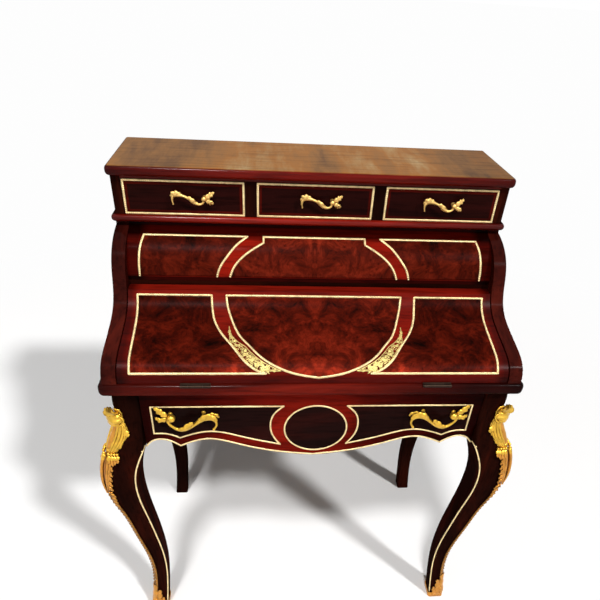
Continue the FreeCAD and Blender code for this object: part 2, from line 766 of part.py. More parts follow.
def leaf_neck(x0, x1, turned):
    reach = BARREL_RADIUS + KNUCKLE_GAP
    depth = LEAF_THICK if turned else -LEAF_THICK
    neck = block(x0, x1, 0, reach, 0, depth)
    if turned:
        neck.rotate(vec(0, 0, 0), vec(1, 0, 0), FLAP_SLOPE)
    neck.translate(vec(0, HINGE_Y, HINGE_Z))
    return neck


def make_leaf(x, turned):
    """A butt hinge leaf: the fixed one has two outer knuckles, the moving one the middle knuckle."""
    x0 = x - HINGE_LENGTH / 2
    x1 = x + HINGE_LENGTH / 2
    quarter = HINGE_LENGTH / 4
    if turned:
        spans = [(x0 + quarter + KNUCKLE_GAP, x1 - quarter - KNUCKLE_GAP)]
    else:
        spans = [(x0, x0 + quarter), (x1 - quarter, x1)]
    leaf = leaf_plate(x0, x1, turned)
    for a, b in spans:
        leaf = leaf.fuse(hinge_barrel(a, b, BARREL_RADIUS)).fuse(leaf_neck(a, b, turned))
    leaf = leaf.cut(hinge_barrel(x0 - OVERCUT, x1 + OVERCUT, PIN_RADIUS + RUNNING_FIT))
    return leaf.removeSplitter()


def leaf_screws(x, turned):
    """Countersunk screws through one leaf into the wood."""
    screws = []
    pitch = HINGE_LENGTH / SCREWS_PER_LEAF
    for index in range(SCREWS_PER_LEAF):
        at = x + (index - (SCREWS_PER_LEAF - 1) / 2) * pitch
        y = (BARREL_RADIUS + KNUCKLE_GAP + HINGE_LEAF) / 2
        way = vec(0, 0, 1) if turned else vec(0, 0, -1)
        head = Part.makeCone(SCREW_HEAD, SCREW_RADIUS, LEAF_THICK, vec(at, y, 0), way)
        shank = Part.makeCylinder(SCREW_RADIUS, SCREW_LENGTH, vec(at, y, 0), way)
        screw = head.fuse(shank).removeSplitter()
        if turned:
            screw.rotate(vec(0, 0, 0), vec(1, 0, 0), FLAP_SLOPE)
        screw.translate(vec(0, HINGE_Y, HINGE_Z))
        screws.append(screw)
    return screws


def board_notch(x):
    """What a hinge takes out of the desk board's front edge."""
    x0 = x - HINGE_LENGTH / 2
    x1 = x + HINGE_LENGTH / 2
    slot = block(x0 - RUNNING_FIT, x1 + RUNNING_FIT, HINGE_Y, HINGE_Y + HINGE_LEAF, HINGE_Z - LEAF_THICK, FAR)
    return slot.fuse(hinge_barrel(x0 - RUNNING_FIT, x1 + RUNNING_FIT, BARREL_RADIUS + NOTCH_GAP))


def flap_notch(x):
    """What a hinge takes out of the flap's inner face."""
    x0 = x - HINGE_LENGTH / 2 - RUNNING_FIT
    x1 = x + HINGE_LENGTH / 2 + RUNNING_FIT
    slot = block(x0, x1, -HINGE_LEAF, HINGE_LEAF, -FAR, LEAF_THICK)
    slot.rotate(vec(0, 0, 0), vec(1, 0, 0), FLAP_SLOPE)
    slot.translate(vec(0, HINGE_Y, HINGE_Z))
    return slot


# --- handles and drawers -------------------------------------------------------------------------

def make_handle(width, x, face_y, z, flip):
    """A scrolled bar, hooked at one end and leafed at the other, on two posts with studs."""
    half = width / 2
    curve = Part.BSplineCurve()
    curve.interpolate([vec(a * half, 0, b * half) for a, b in HANDLE_OUTLINE], PeriodicFlag=True)
    bar = drawn_y(Part.Face(Part.Wire(curve.toShape())), -HANDLE_STAND - HANDLE_THICK, -HANDLE_STAND)
    for a, b in HANDLE_POSTS:
        at = vec(a * half, 0, b * half)
        bar = bar.fuse(Part.makeCylinder(POST_RADIUS, HANDLE_STAND + HANDLE_THICK / 2, at, vec(0, -1, 0)))
        bar = bar.fuse(Part.makeCylinder(STUD_RADIUS, STUD_LENGTH, at, vec(0, 1, 0)))
    if flip:
        bar = mirrored(bar)
    bar.translate(vec(x, face_y, z))
    return largest(bar)


def drawer_box(half, y0, y1, z0, z1, side, bottom):
    """Two sides, a back and a bottom, each its own board, behind a drawer front."""
    boards = []
    for way in (1, -1):
        boards.append(block(way * (half - side), way * half, y0, y1, z0, z1))
    inner = half - side
    boards.append(block(-inner, inner, y1 - side, y1, z0 + bottom, z1))
    boards.append(block(-inner, inner, y0, y1, z0, z0 + bottom))
    return boards


def frieze_box_foot():
    return FRIEZE_TOP - FRIEZE_GAP - SLIDE_GAP - FRIEZE_BOX_HEIGHT - SLIDE_GAP


def apron_edge():
    """The scalloped lower edge on the right half, as two curves that meet in a cusp."""
    return on_frieze(APRON_BELLY), on_frieze(APRON_ARCH + [(1.0, APRON_END_DROP)])


def make_frieze_front(studs):
    belly, arch = apron_edge()
    corner = (FRIEZE_HALF, FRIEZE_TOP)
    middle = (0.0, FRIEZE_TOP)
    edges = [belly, arch, [arch[-1], corner], [corner, middle], [middle, belly[0]]]
    right = drawn_y(Part.Face(wire_xz(edges)), FRIEZE_Y, FRIEZE_Y + FRIEZE_THICK)
    front = right.fuse(mirrored(right)).removeSplitter()
    return largest(drilled(front, studs))


def make_frieze_box():
    half = FRIEZE_HALF - FRIEZE_BOX_INSET
    y0 = FRIEZE_Y + FRIEZE_THICK
    y1 = BACK_APRON_Y - FRIEZE_BACK_GAP
    foot = frieze_box_foot()
    boards = drawer_box(half, y0, y1, foot, foot + FRIEZE_BOX_HEIGHT, FRIEZE_BOX_SIDE, BOTTOM_THICK)
    return Part.makeCompound(boards)


def make_frieze_stringing():
    """Two shaped fields, a ring between them and the line along the scalloped edge."""
    outer = FRIEZE_HALF - FIELD_MARGIN
    inner = on_frieze(FIELD_INNER)
    belly = on_frieze(FIELD_BELLY)
    scallop = on_frieze(FIELD_SCALLOP + [(outer / FRIEZE_HALF, FIELD_END_DROP)])
    top = (outer, LEG_TOP - FIELD_TOP)
    face_y = FRIEZE_Y - STRING_THICK
    wire = wire_xz([inner, belly, scallop, [scallop[-1], top], [top, inner[0]]])
    fields = both_sides(band_of(wire, STRING_WIDTH, face_y, FRIEZE_Y).Solids)

    middle = vec(0, FRIEZE_Y, LEG_TOP - RING_DROP)
    ring = Part.makeCylinder(RING_RADIUS, STRING_THICK, middle, vec(0, -1, 0))
    ring = ring.cut(Part.makeCylinder(RING_RADIUS - STRING_WIDTH, STRING_THICK, middle, vec(0, -1, 0)))

    belly, arch = apron_edge()
    belly_top = [(x, z + STRING_WIDTH) for x, z in belly]
    arch_top = [(x, z + STRING_WIDTH) for x, z in arch]
    rim = Part.Face(wire_xz([
        belly, arch, [arch[-1], arch_top[-1]], arch_top[::-1], belly_top[::-1], [belly_top[0], belly[0]],
    ]))
    rim = drawn_y(rim, face_y, FRIEZE_Y)
    rim = rim.fuse(mirrored(rim)).removeSplitter()
    return Part.makeCompound(fields + ring.Solids + rim.Solids)


def small_drawer_places():
    """The middle of each small drawer and the half width of its front."""
    inside = CASE_WIDTH - 2 * CASE_THICK
    bay = (inside - 2 * DIVIDER_THICK) / 3
    step = bay + DIVIDER_THICK
    return {"left": -step, "middle": 0.0, "right": step}, bay / 2 - SMALL_GAP


def make_small_front(x, half, stud):
    z0 = BAY_Z + SLIDE_GAP
    z1 = TOP_Z - BAY_RAIL - SMALL_GAP
    front = block(x - half, x + half, CASE_Y, CASE_Y + SMALL_FRONT, z0, z1)
    return largest(front.cut(stud))


def make_small_box(x, half):
    y0 = CASE_Y + SMALL_FRONT
    z0 = BAY_Z + SLIDE_GAP
    z1 = TOP_Z - BAY_RAIL - 2 * SMALL_GAP
    boards = drawer_box(half, y0, CARCASS_BACK - SMALL_BACK_GAP, z0, z1, SMALL_SIDE, BOTTOM_THICK)
    box = Part.makeCompound(boards)
    box.translate(vec(x, 0, 0))
    return box


def make_beading(x, half):
    """The milled brass frame round a small drawer's front."""
    z0 = BAY_Z + SLIDE_GAP
    z1 = TOP_Z - BAY_RAIL - SMALL_GAP
    y0 = CASE_Y - BEAD_THICK
    inner = half - BEAD_WIDTH
    outside = block(x - half, x + half, y0, CASE_Y, z0, z1)
    return outside.cut(block(x - inner, x + inner, y0, CASE_Y, z0 + BEAD_WIDTH, z1 - BEAD_WIDTH))


def save(name, shape):
    shape.exportStep("parts/" + name + ".step")


def save_stand():
    front_leg = make_leg(False)
    rear_leg = make_leg(True)
    legs = [front_leg, mirrored(front_leg), rear_leg, mirrored(rear_leg)]
    sabot = make_sabot(front_leg)
    pairs = {
        "front_leg": front_leg,
        "rear_leg": rear_leg,
        "apron": make_side_apron([front_leg, rear_leg]),
        "knee_mount": arris_loft(KNEE_MOUNT, front_leg),
        "arris_mount": largest(arris_loft(ARRIS_MOUNT, front_leg).cut(sabot)),
        "sabot": sabot,
        "leg_string": make_leg_string(),
    }
    save_pairs(pairs)
    save("back_apron", make_back_apron(legs))
    save("frieze_rail", make_frieze_rail(legs))
    save("drawer_runners", make_runners(legs))


def save_pairs(pairs):
    for name, shape in pairs.items():
        save("right_" + name, shape)
        save("left_" + name, mirrored(shape))


def save_carcass():
    panel = make_upper_panel()
    places, half = small_drawer_places()
    save_pairs({
        "side_panel": make_side(),
        "case_side": make_case_side(),
        "case_divider": make_divider(places["right"] / 2),
        "partition": make_partition(SIDE_INNER / 3),
    })
    save("upper_panel", panel)
    save("upper_panel_stringing", make_panel_stringing())
    save("flap_stop_rail", make_stop_rail(panel))
    save("back_panel", make_back_panel())
    save("pigeonhole_ceiling", make_ceiling())
    save("waist_board", make_waist_board())
    save("case_rail", make_case_rail())
    save("top_board", make_top_board())


def save_hinged():
    """The desk board and the flap, with the two butt hinges between them."""
    hinges = [-HINGE_SPACING / 2, HINGE_SPACING / 2]
    board_screws = [leaf_screws(x, False) for x in hinges]
    flap_screws = [leaf_screws(x, True) for x in hinges]
    fixed = [drilled(make_leaf(x, False), screws) for x, screws in zip(hinges, board_screws)]
    moving = [drilled(make_leaf(x, True), screws) for x, screws in zip(hinges, flap_screws)]
    reach = HINGE_LENGTH / 2
    save("hinge_board_leaves", Part.makeCompound(fixed))
    save("hinge_flap_leaves", Part.makeCompound(moving))
    save("hinge_board_screws", Part.makeCompound(sum(board_screws, [])))
    save("hinge_flap_screws", Part.makeCompound(sum(flap_screws, [])))
    save("hinge_pins", Part.makeCompound([hinge_barrel(x - reach, x + reach, PIN_RADIUS) for x in hinges]))
    save("desk_board", make_desk_board([board_notch(x) for x in hinges] + sum(board_screws, [])))

    leather = make_leather()
    flap = drilled(make_flap(), [leather] + [flap_notch(x) for x in hinges] + sum(flap_screws, []))
    curve = offset_spline(curve_at(SIDE_CURVE), -FLAP_RECESS)
    save("flap", largest(flap))
    save("flap_leather", leather)
    save("flap_stringing", make_flap_stringing(curve))
    save("flap_filigree", make_filigree(curve))


def save_drawers():
    z = LEG_TOP - FRIEZE_HANDLE_DROP
    reach = FRIEZE_HANDLE_SHARE * FRIEZE_HALF
    left_handle = make_handle(FRIEZE_HANDLE, -reach, FRIEZE_Y, z, True)
    right_handle = make_handle(FRIEZE_HANDLE, reach, FRIEZE_Y, z, False)
    save("left_frieze_handle", left_handle)
    save("right_frieze_handle", right_handle)
    save("frieze_drawer_front", make_frieze_front([left_handle, right_handle]))
    save("frieze_drawer_box", make_frieze_box())
    save("frieze_stringing", make_frieze_stringing())

    bay_middle = (BAY_Z + TOP_Z - BAY_RAIL) / 2
    places, half = small_drawer_places()
    for name, x in places.items():
        handle = make_handle(SMALL_HANDLE, x + HANDLE_SHIFTS[name], CASE_Y, bay_middle, False)
        save(name + "_drawer_handle", handle)
        save(name + "_drawer_front", make_small_front(x, half, handle))
        save(name + "_drawer_box", make_small_box(x, half))
        save(name + "_drawer_beading", make_beading(x, half))


os.makedirs("parts", exist_ok=True)
save_stand()
save_carcass()
save_hinged()
save_drawers()
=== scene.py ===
import functools
import math

import bpy
import bmesh
from mathutils import Matrix, Vector


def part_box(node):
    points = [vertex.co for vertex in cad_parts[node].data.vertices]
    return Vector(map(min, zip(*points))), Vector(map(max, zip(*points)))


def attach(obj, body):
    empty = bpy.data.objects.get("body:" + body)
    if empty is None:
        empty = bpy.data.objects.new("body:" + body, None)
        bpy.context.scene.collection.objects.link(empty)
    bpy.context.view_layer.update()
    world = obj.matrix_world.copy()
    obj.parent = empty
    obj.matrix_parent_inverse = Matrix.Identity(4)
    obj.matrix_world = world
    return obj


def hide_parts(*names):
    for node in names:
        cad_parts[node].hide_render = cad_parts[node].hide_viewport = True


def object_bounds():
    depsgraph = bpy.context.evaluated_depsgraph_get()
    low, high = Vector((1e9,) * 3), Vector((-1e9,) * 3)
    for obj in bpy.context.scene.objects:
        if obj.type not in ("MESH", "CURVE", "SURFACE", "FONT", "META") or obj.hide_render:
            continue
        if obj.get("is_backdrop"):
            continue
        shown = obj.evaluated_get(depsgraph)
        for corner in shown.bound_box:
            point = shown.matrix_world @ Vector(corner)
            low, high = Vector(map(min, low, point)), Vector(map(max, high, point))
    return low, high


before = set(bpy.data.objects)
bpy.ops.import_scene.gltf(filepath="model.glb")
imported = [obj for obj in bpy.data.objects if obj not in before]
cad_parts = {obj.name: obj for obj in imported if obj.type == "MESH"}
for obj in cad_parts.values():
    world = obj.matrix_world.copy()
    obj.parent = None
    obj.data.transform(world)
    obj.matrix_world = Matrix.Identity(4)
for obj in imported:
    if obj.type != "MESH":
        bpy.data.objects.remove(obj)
cad_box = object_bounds()


# --- The studio -------------------------------------------------------
# A pale floor that runs into a white surround. A high lamp at the right throws the desk's shadow
# back to the left, a second one in front darkens the floor behind the legs, soft boxes fill in.

def add_node(tree, kind, values=None, wires=None, **settings):
    """A shader node with its settings, the values of its sockets and the wires that feed them."""
    node = tree.nodes.new("ShaderNode" + kind)
    for name, value in settings.items():
        setattr(node, name, value)
    for socket, value in (values or {}).items():
        node.inputs[socket].default_value = value
    for socket, source in (wires or {}).items():
        tree.links.new(source, node.inputs[socket])
    return node


def new_finish(name):
    """A new material with its node tree, its shader's sockets and the piece's own coordinates."""
    finish = bpy.data.materials.new(name)
    finish.use_nodes = True
    tree = finish.node_tree
    return finish, tree, tree.nodes["Principled BSDF"].inputs, add_node(tree, "TexCoord").outputs["Object"]


def noise(tree, place, scale, detail=2.0, roughness=0.5, distortion=0.0):
    """A cloudy figure, as a share and as a colour."""
    return add_node(tree, "TexNoise", {"Scale": scale, "Detail": detail, "Roughness": roughness,
                                       "Distortion": distortion}, {"Vector": place}).outputs


def ranged(tree, value, low, high, first=0.0, last=1.0, **settings):
    """Runs from first to last while the value runs from low to high."""
    return add_node(tree, "MapRange", {"From Min": low, "From Max": high, "To Min": first, "To Max": last},
                    {"Value": value}, **settings).outputs["Result"]


def tone_ramp(tree, shades, share):
    """The colour at a share of a ramp. Each shade holds its place, red, green and blue."""
    ramp = add_node(tree, "ValToRGB", wires={"Fac": share})
    steps = ramp.color_ramp.elements
    while len(steps) < len(shades):
        steps.new(0.5)
    for step, (place, *colour) in zip(steps, shades):
        step.position = place
        step.color = (*colour, 1)
    return ramp.outputs["Color"]


def seen_rays(tree):
    """1 for camera, glossy and transmission rays, 0 for the rays that carry light."""
    rays = add_node(tree, "LightPath").outputs
    seen = rays["Is Camera Ray"]
    for kind in ("Is Glossy Ray", "Is Transmission Ray"):
        seen = add_node(tree, "Math", wires={0: seen, 1: rays[kind]}, operation="MAXIMUM").outputs[0]
    return seen


AMBIENT, AMBIENT_TINT = 0.08, (1.0, 0.985, 0.97, 1)
surround = bpy.data.worlds.new("studio_surround")
surround.use_nodes = True
bpy.context.scene.world = surround
tree = surround.node_tree
ambient = tree.nodes["Background"]
ambient.inputs["Color"].default_value = AMBIENT_TINT
ambient.inputs["Strength"].default_value = AMBIENT
white = add_node(tree, "Background", {"Color": (1, 1, 1, 1)})
seen_white = add_node(tree, "MixShader",
                      wires={0: seen_rays(tree), 1: ambient.outputs[0], 2: white.outputs[0]})
tree.links.new(seen_white.outputs[0], tree.nodes["World Output"].inputs["Surface"])


def add_object(name, data):
    """A new object in the scene."""
    thing = bpy.data.objects.new(name, data)
    bpy.context.scene.collection.objects.link(thing)
    return thing


def add_mesh(name, shape, finish):
    """A new object made of a finished shape."""
    mesh = bpy.data.meshes.new(name)
    shape.to_mesh(mesh)
    shape.free()
    mesh.materials.append(finish)
    return add_object(name, mesh)


FLOOR_HALF, HAZE_FROM, HAZE_TO = 40.0, 1.5, 2.4
floor_paint, tree, paint, place = new_finish("floor_paint")
paint["Roughness"].default_value = 0.9
paint["Specular IOR Level"].default_value = 0.0
dust = noise(tree, place, 1.5)["Fac"]
tree.links.new(tone_ramp(tree, [(0.0, 0.955, 0.955, 0.955), (1.0, 0.975, 0.975, 0.975)], dust),
               paint["Base Color"])
far_off = add_node(tree, "VectorMath", wires={0: place}, operation="LENGTH").outputs["Value"]
haze = ranged(tree, far_off, HAZE_FROM, HAZE_TO, interpolation_type="SMOOTHSTEP")
share = add_node(tree, "Math", wires={0: haze, 1: seen_rays(tree)}, operation="MULTIPLY").outputs[0]
white = add_node(tree, "Emission", {"Color": (0.985, 0.985, 0.985, 1)}).outputs[0]
paint_shader = tree.nodes["Principled BSDF"].outputs[0]
hazy = add_node(tree, "MixShader", wires={0: share, 1: paint_shader, 2: white}).outputs[0]
tree.links.new(hazy, tree.nodes["Material Output"].inputs["Surface"])
floor = bmesh.new()
bmesh.ops.create_grid(floor, x_segments=2, y_segments=2, size=FLOOR_HALF)
add_mesh("studio_floor", floor, floor_paint)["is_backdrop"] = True


def hang_lamp(name, kind, place, target, power, tint):
    """A lamp that hangs at a place and shines on a target."""
    lamp = bpy.data.lights.new(name, kind)
    lamp.energy, lamp.color = power, tint
    holder = add_object(name, lamp)
    holder.location = place
    holder.rotation_euler = (Vector(target) - Vector(place)).to_track_quat("-Z", "Y").to_euler()
    return lamp


for name, place, power, spread in (("right_high_lamp", (2.091, -2.217, 3.0), 2.05, 5.0),
                                   ("left_front_lamp", (-0.4, -1.5, 3.0), 1.66, 7.0)):
    lamp = hang_lamp(name, "SUN", place, (0, 0, 0), power, (1.0, 0.995, 0.99))
    lamp.angle = math.radians(spread)
for name, place, power, wide, high in (("left_soft_box", (-1.9, -1.7, 2.1), 7.0, 1.8, 0.8),
                                       ("front_soft_box", (0.2, -2.6, 2.6), 5.0, 1.8, 0.8)):
    box = hang_lamp(name, "AREA", place, (0, 0, 0.7), power, (1.0, 0.98, 0.96))
    box.shape = "RECTANGLE"
    box.size, box.size_y = wide, high

EYE = (-0.107396, -1.038402, 1.418490)
# Turned right of straight ahead, tilted up from straight down, then rolled.
YAW, TILT, ROLL = (math.radians(angle) for angle in (-6.81, 53.89, 4.02))
lens = bpy.data.cameras.new("camera")
lens.sensor_width, lens.lens = 36.0, 32.993
lens.shift_x, lens.shift_y = -0.025, 0.11
camera = add_object("camera", lens)
camera.matrix_world = (Matrix.Translation(EYE) @ Matrix.Rotation(YAW, 4, "Z")
                       @ Matrix.Rotation(TILT, 4, "X") @ Matrix.Rotation(ROLL, 4, "Z"))
bpy.context.scene.camera = camera
bpy.context.scene.view_settings.view_transform = "Standard"


# --- The stand: legs, aprons and frame --------------------------------
# Solid mahogany, the cabriole legs stained darker than the rest. The square leg heads are jointed
# to the side and back aprons; all of it is grain-filled and french polished to a deep gloss.

def deepen(tree, colour, place, axis, clear, dark, least):
    """Scales the colour from 1 at clear to least at dark along an axis, both ways along |X|: darker parts,
    painted shade, and with least above 1 a painted highlight.
    """
    split = add_node(tree, "SeparateXYZ", wires={0: place})
    reach = add_node(tree, "Math", {1: 0.0}, {0: split.outputs[axis.strip("|")]},
                     operation="ABSOLUTE" if axis == "|X|" else "ADD")
    fade = ranged(tree, reach.outputs[0], clear, dark, 1.0, least)
    return add_node(tree, "VectorMath", wires={0: colour, "Scale": fade},
                    operation="SCALE").outputs["Vector"]


def stained(tree, colour, stain, strength):
    """The colour darkened by a stain."""
    return add_node(tree, "Mix", {"Factor": strength}, {"A": colour, "B": stain}, data_type="RGBA",
                    blend_type="MULTIPLY").outputs["Result"]


def surface(tree, shader, rubbed, dull, bright, height, strength, depth):
    """Roughness that runs from bright to dull with the figure, and a fine relief."""
    tree.links.new(ranged(tree, rubbed, 0.0, 1.0, bright, dull), shader["Roughness"])
    relief = add_node(tree, "Bump", {"Strength": strength, "Distance": depth}, {"Height": height})
    tree.links.new(relief.outputs["Normal"], shader["Normal"])


def polish(shader, shine, wax):
    """A clear film over the colour, with no other gloss."""
    shader["Specular IOR Level"].default_value = 0.0
    shader["Coat Weight"].default_value = shine
    shader["Coat Roughness"].default_value = wax


def polished_timber(name, shades, stretch=(0.1, 1.0, 1.0), figure=7.0, gloss=0.16, shine=0.03, tones_and_painted_light=(),
                    wax=0.12, painted_reflection=None):
    """Timber with long grain under polish. The stretch is small along the grain."""
    finish, tree, shader, place = new_finish(name)
    along = add_node(tree, "Mapping", {"Scale": stretch}, {"Vector": place}).outputs["Vector"]
    growth = noise(tree, along, figure, 6.0, 0.6, 1.6)["Fac"]
    pores = noise(tree, along, figure * 22.0, 3.0)["Fac"]
    pore_line = tone_ramp(tree, [(0.36, 0.35, 0.35, 0.35), (0.5, 1.0, 1.0, 1.0)], pores)
    colour = stained(tree, tone_ramp(tree, shades, growth), pore_line, 0.55)
    for tone in tones_and_painted_light:
        colour = deepen(tree, colour, place, *tone)
    # A painted reflection, where one is given, goes over the colour last.
    if painted_reflection:
        colour = painted_reflection(tree, place, colour, pore_line)
    tree.links.new(colour, shader["Base Color"])
    surface(tree, shader, growth, gloss * 1.6, gloss * 0.75, pores, 0.12, 0.0004)
    polish(shader, shine, wax)
    return finish


def give(finish, *names):
    """Puts a finish on nodes of the frame."""
    for name in names:
        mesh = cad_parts[name].data
        mesh.materials.clear()
        mesh.materials.append(finish)


LEG_SHADES = [(0.3, 0.004, 0.0014, 0.001), (0.5, 0.014, 0.0028, 0.0016),
              (0.72, 0.042, 0.0055, 0.0024)]
MAHOGANY_SHADES = [(0.28, 0.016, 0.0016, 0.001), (0.46, 0.06, 0.004, 0.002),
                   (0.62, 0.14, 0.008, 0.0035), (0.8, 0.25, 0.016, 0.006)]
SIDE_SHADES = [(0.28, 0.012, 0.0018, 0.0012), (0.46, 0.036, 0.004, 0.0024),
               (0.62, 0.075, 0.008, 0.004), (0.8, 0.15, 0.014, 0.007)]
leg_timber = polished_timber("dark_leg_mahogany", LEG_SHADES, (1.0, 1.0, 0.12), 9.0, shine=0.01)
rail_timber = polished_timber("rail_mahogany", MAHOGANY_SHADES, (0.08, 1.0, 1.0), 6.0, shine=0.16)
side_timber = polished_timber("side_mahogany", SIDE_SHADES, (1.0, 0.09, 1.0), 6.0, shine=0.06)
give(leg_timber, "left_front_leg", "right_front_leg", "left_rear_leg", "right_rear_leg")
give(side_timber, "left_apron", "right_apron")
give(rail_timber, "back_apron", "frieze_rail")

PLAIN_SHADES = [(0.3, 0.19, 0.098, 0.045), (0.55, 0.29, 0.165, 0.08), (0.8, 0.39, 0.24, 0.13)]
runner_timber = polished_timber("bare_runner_timber", PLAIN_SHADES, (1.0, 0.07, 1.0), gloss=0.5)
give(runner_timber, "drawer_runners")


# --- Gilt mounts on the front legs ------------------------------------
# Cast and chased bronze, fire gilt: a scrolled cartouche on each knee, a feathered drop below it,
# a thin string of husks down the corner and a leafy shoe. Pins through the edges hold them.

def gilding(name, gold, shade, roughness, metal=0.9, hollow_size=0.004):
    """Gilt or plain metal, worn unevenly, with a darker patina in the hollows."""
    finish, tree, shader, place = new_finish(name)
    shader["Metallic"].default_value = metal
    wear = noise(tree, place, 90.0, 4.0)["Fac"]
    rubbed = tone_ramp(tree, [(0.35, *(c * 0.72 for c in gold)), (0.62, *gold)], wear)
    hollow = add_node(tree, "AmbientOcclusion", {"Distance": hollow_size}, samples=6).outputs["AO"]
    depth = ranged(tree, hollow, 0.2, 0.8)
    patina = add_node(tree, "Mix", {"A": (*shade, 1)}, {"Factor": depth, "B": rubbed}, data_type="RGBA")
    tree.links.new(patina.outputs["Result"], shader["Base Color"])
    surface(tree, shader, wear, roughness * 1.5, roughness * 0.7, wear, 0.2, 0.0003)
    return finish


fire_gilt = gilding("fire_gilt_bronze", (0.84, 0.5, 0.06), (0.24, 0.07, 0.006), 0.3, 0.85)
amber_gilt = gilding("amber_gilt_bronze", (0.7, 0.31, 0.05), (0.12, 0.03, 0.005), 0.3, 0.85)


def along_line(line, share):
    """The point at a share of an evenly numbered line, on a smooth curve through its points."""
    at = min(max(share, 0.0), 1.0) * (len(line) - 1)
    index = min(int(at), len(line) - 2)
    part = at - index
    p1, p2 = Vector(line[index]), Vector(line[index + 1])
    p0 = Vector(line[index - 1]) if index else 2 * p1 - p2
    p3 = Vector(line[index + 2]) if index + 2 < len(line) else 2 * p2 - p1
    return 0.5 * (2 * p1 + (p2 - p0) * part + (2 * p0 - 5 * p1 + 4 * p2 - p3) * part ** 2
                  + (3 * p1 - p0 - 3 * p2 + p3) * part ** 3)


def join(shape, bit):
    """Adds one finished bit of a casting to the rest."""
    mesh = bpy.data.meshes.new("bit")
    bit.to_mesh(mesh)
    bit.free()
    shape.from_mesh(mesh)
    bpy.data.meshes.remove(mesh)


def cast_bar(whole, line, place, sides=8, steps=24):
    """A bar: across, up, lift, half width and, where it isn't round, half height, in mm."""
    line = [(*point, point[3]) if len(point) == 4 else point for point in line]
    shape = bmesh.new()
    before, half_step = None, 0.5 / steps
    for step in range(steps + 1):
        share = step / steps
        here = along_line(line, share)
        back, front = along_line(line, share - half_step), along_line(line, share + half_step)
        centre = place(*here[:3])
        ahead = (place(*front[:3]) - place(*back[:3])).normalized()
        out = (place(here[0], here[1], here[2] + 1.0) - centre).normalized()
        across = ahead.cross(out)
        across = across.normalized() if across.length > 0.05 else ahead.orthogonal().normalized()
        up = across.cross(ahead)
        wide, high = max(here[3], 0.05) * 0.001, max(here[4], 0.05) * 0.001
        turn = Matrix((across * wide, up * high, ahead * 0.001)).transposed().to_4x4()
        turn.translation = centre
        if before is None:
            rim = bmesh.ops.create_circle(shape, cap_ends=True, segments=sides, radius=1.0, matrix=turn)
            edges = list({edge for vert in rim["verts"] for edge in vert.link_edges})
        else:
            made = bmesh.ops.extrude_edge_only(shape, edges=edges)["geom"]
            moved = [item for item in made if isinstance(item, bmesh.types.BMVert)]
            bmesh.ops.transform(shape, matrix=turn @ before.inverted(), verts=moved)
            edges = [item for item in made if isinstance(item, bmesh.types.BMEdge)
                     and all(vert in moved for vert in item.verts)]
        before = turn
    bmesh.ops.contextual_create(shape, geom=edges)
    join(whole, shape)


def with_underside(shape, sheet):
    """The corners of a flat sheet, and of the underside that it gets one unit below it."""
    faces = list({face for vert in sheet for face in vert.link_faces})
    made = bmesh.ops.extrude_face_region(shape, geom=faces)["geom"]
    under = [item for item in made if isinstance(item, bmesh.types.BMVert)]
    bmesh.ops.translate(shape, vec=(0, 0, -1), verts=under)
    return sheet + under


def cast_leaf(whole, line, place, lobes=4, rows=16, columns=6, thick=1.2, crown=0.35, sweep=0.5,
              cut=0.45):
    """A cupped leaf with lobes and a vein. The line holds across, up, lift and half width in mm."""
    shape = bmesh.new()
    sheet = bmesh.ops.create_grid(shape, x_segments=columns, y_segments=rows, size=1.0)["verts"]
    for vert in with_underside(shape, sheet):
        side, share, level = vert.co.x, (vert.co.y + 1) / 2, vert.co.z
        here = along_line(line, share)
        ahead = along_line(line, share + 0.02) - along_line(line, share - 0.02)
        run = Vector((ahead[0], ahead[1]))
        run = run.normalized() if run.length > 0.35 * Vector(ahead[:3]).length else Vector((0.0, 1.0))
        wave = abs(math.sin(math.pi * lobes * share))
        half = here[3] * (1 - cut + cut * wave)
        out = abs(side)
        lift = here[2] + crown * half * (1 - side * side - 0.25 * max(0.0, 1 - 6 * out))
        lift += 0.16 * half * out * (wave - 0.5)
        along = sweep * half * out
        x = here[0] + run.y * side * half + run.x * along
        y = here[1] - run.x * side * half + run.y * along
        vert.co = place(x, y, lift + level * thick)
    join(whole, shape)


def cast_ball(whole, place, x, y, lift, radius, sides=10):
    """A round bead or knob, its radius in mm."""
    shape = bmesh.new()
    here = Matrix.Translation(place(x, y, lift))
    bmesh.ops.create_uvsphere(shape, u_segments=sides, v_segments=max(4, sides // 2),
                              radius=radius * 0.001, matrix=here)
    join(whole, shape)


def put(name, shape, finish, body, stands_for=(), smooth=True):
    """The finished mesh as one piece that rides on its body."""
    bmesh.ops.remove_doubles(shape, verts=shape.verts, dist=1e-6)
    bmesh.ops.recalc_face_normals(shape, faces=shape.faces)
    piece = add_mesh(name, shape, finish)
    if smooth:
        piece.data.shade_smooth()
    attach(piece, body)
    if stands_for:
        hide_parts(*stands_for)
    return piece


def mirror_shape(shape):
    """A copy for the other side of the desk."""
    other = shape.copy()
    bmesh.ops.scale(other, vec=(-1, 1, 1), verts=other.verts)
    return other


def put_pair(name, shape, finish, stands_for):
    """A right piece and its mirror image on the left. Both stay with the carcass."""
    return [put(f"{side}_{name}", cast, finish, "carcass", [f"{side}_{stands_for}"])
            for side, cast in (("left", mirror_shape(shape)), ("right", shape))]


def to_side(side, line):
    """A line that is drawn for one side, laid on the side that 1 or -1 gives."""
    return [(side * point[0], *point[1:]) for point in line]


LEG_LOW, LEG_HIGH = 0.004, 0.744
right_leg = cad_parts["right_front_leg"]


@functools.cache
def corner_at(half_mm):
    """Outer X and front Y of the right front leg at a height in half millimetres."""
    height = min(max(half_mm / 2000, LEG_LOW), LEG_HIGH)
    outer = right_leg.ray_cast(Vector((0.6, -0.18, height)), Vector((-1, 0, 0)))[1].x
    front = right_leg.ray_cast(Vector((outer - 0.02, -0.5, height)), Vector((0, 1, 0)))[1].y
    return outer, front


CORNER_RADIUS = 5.0


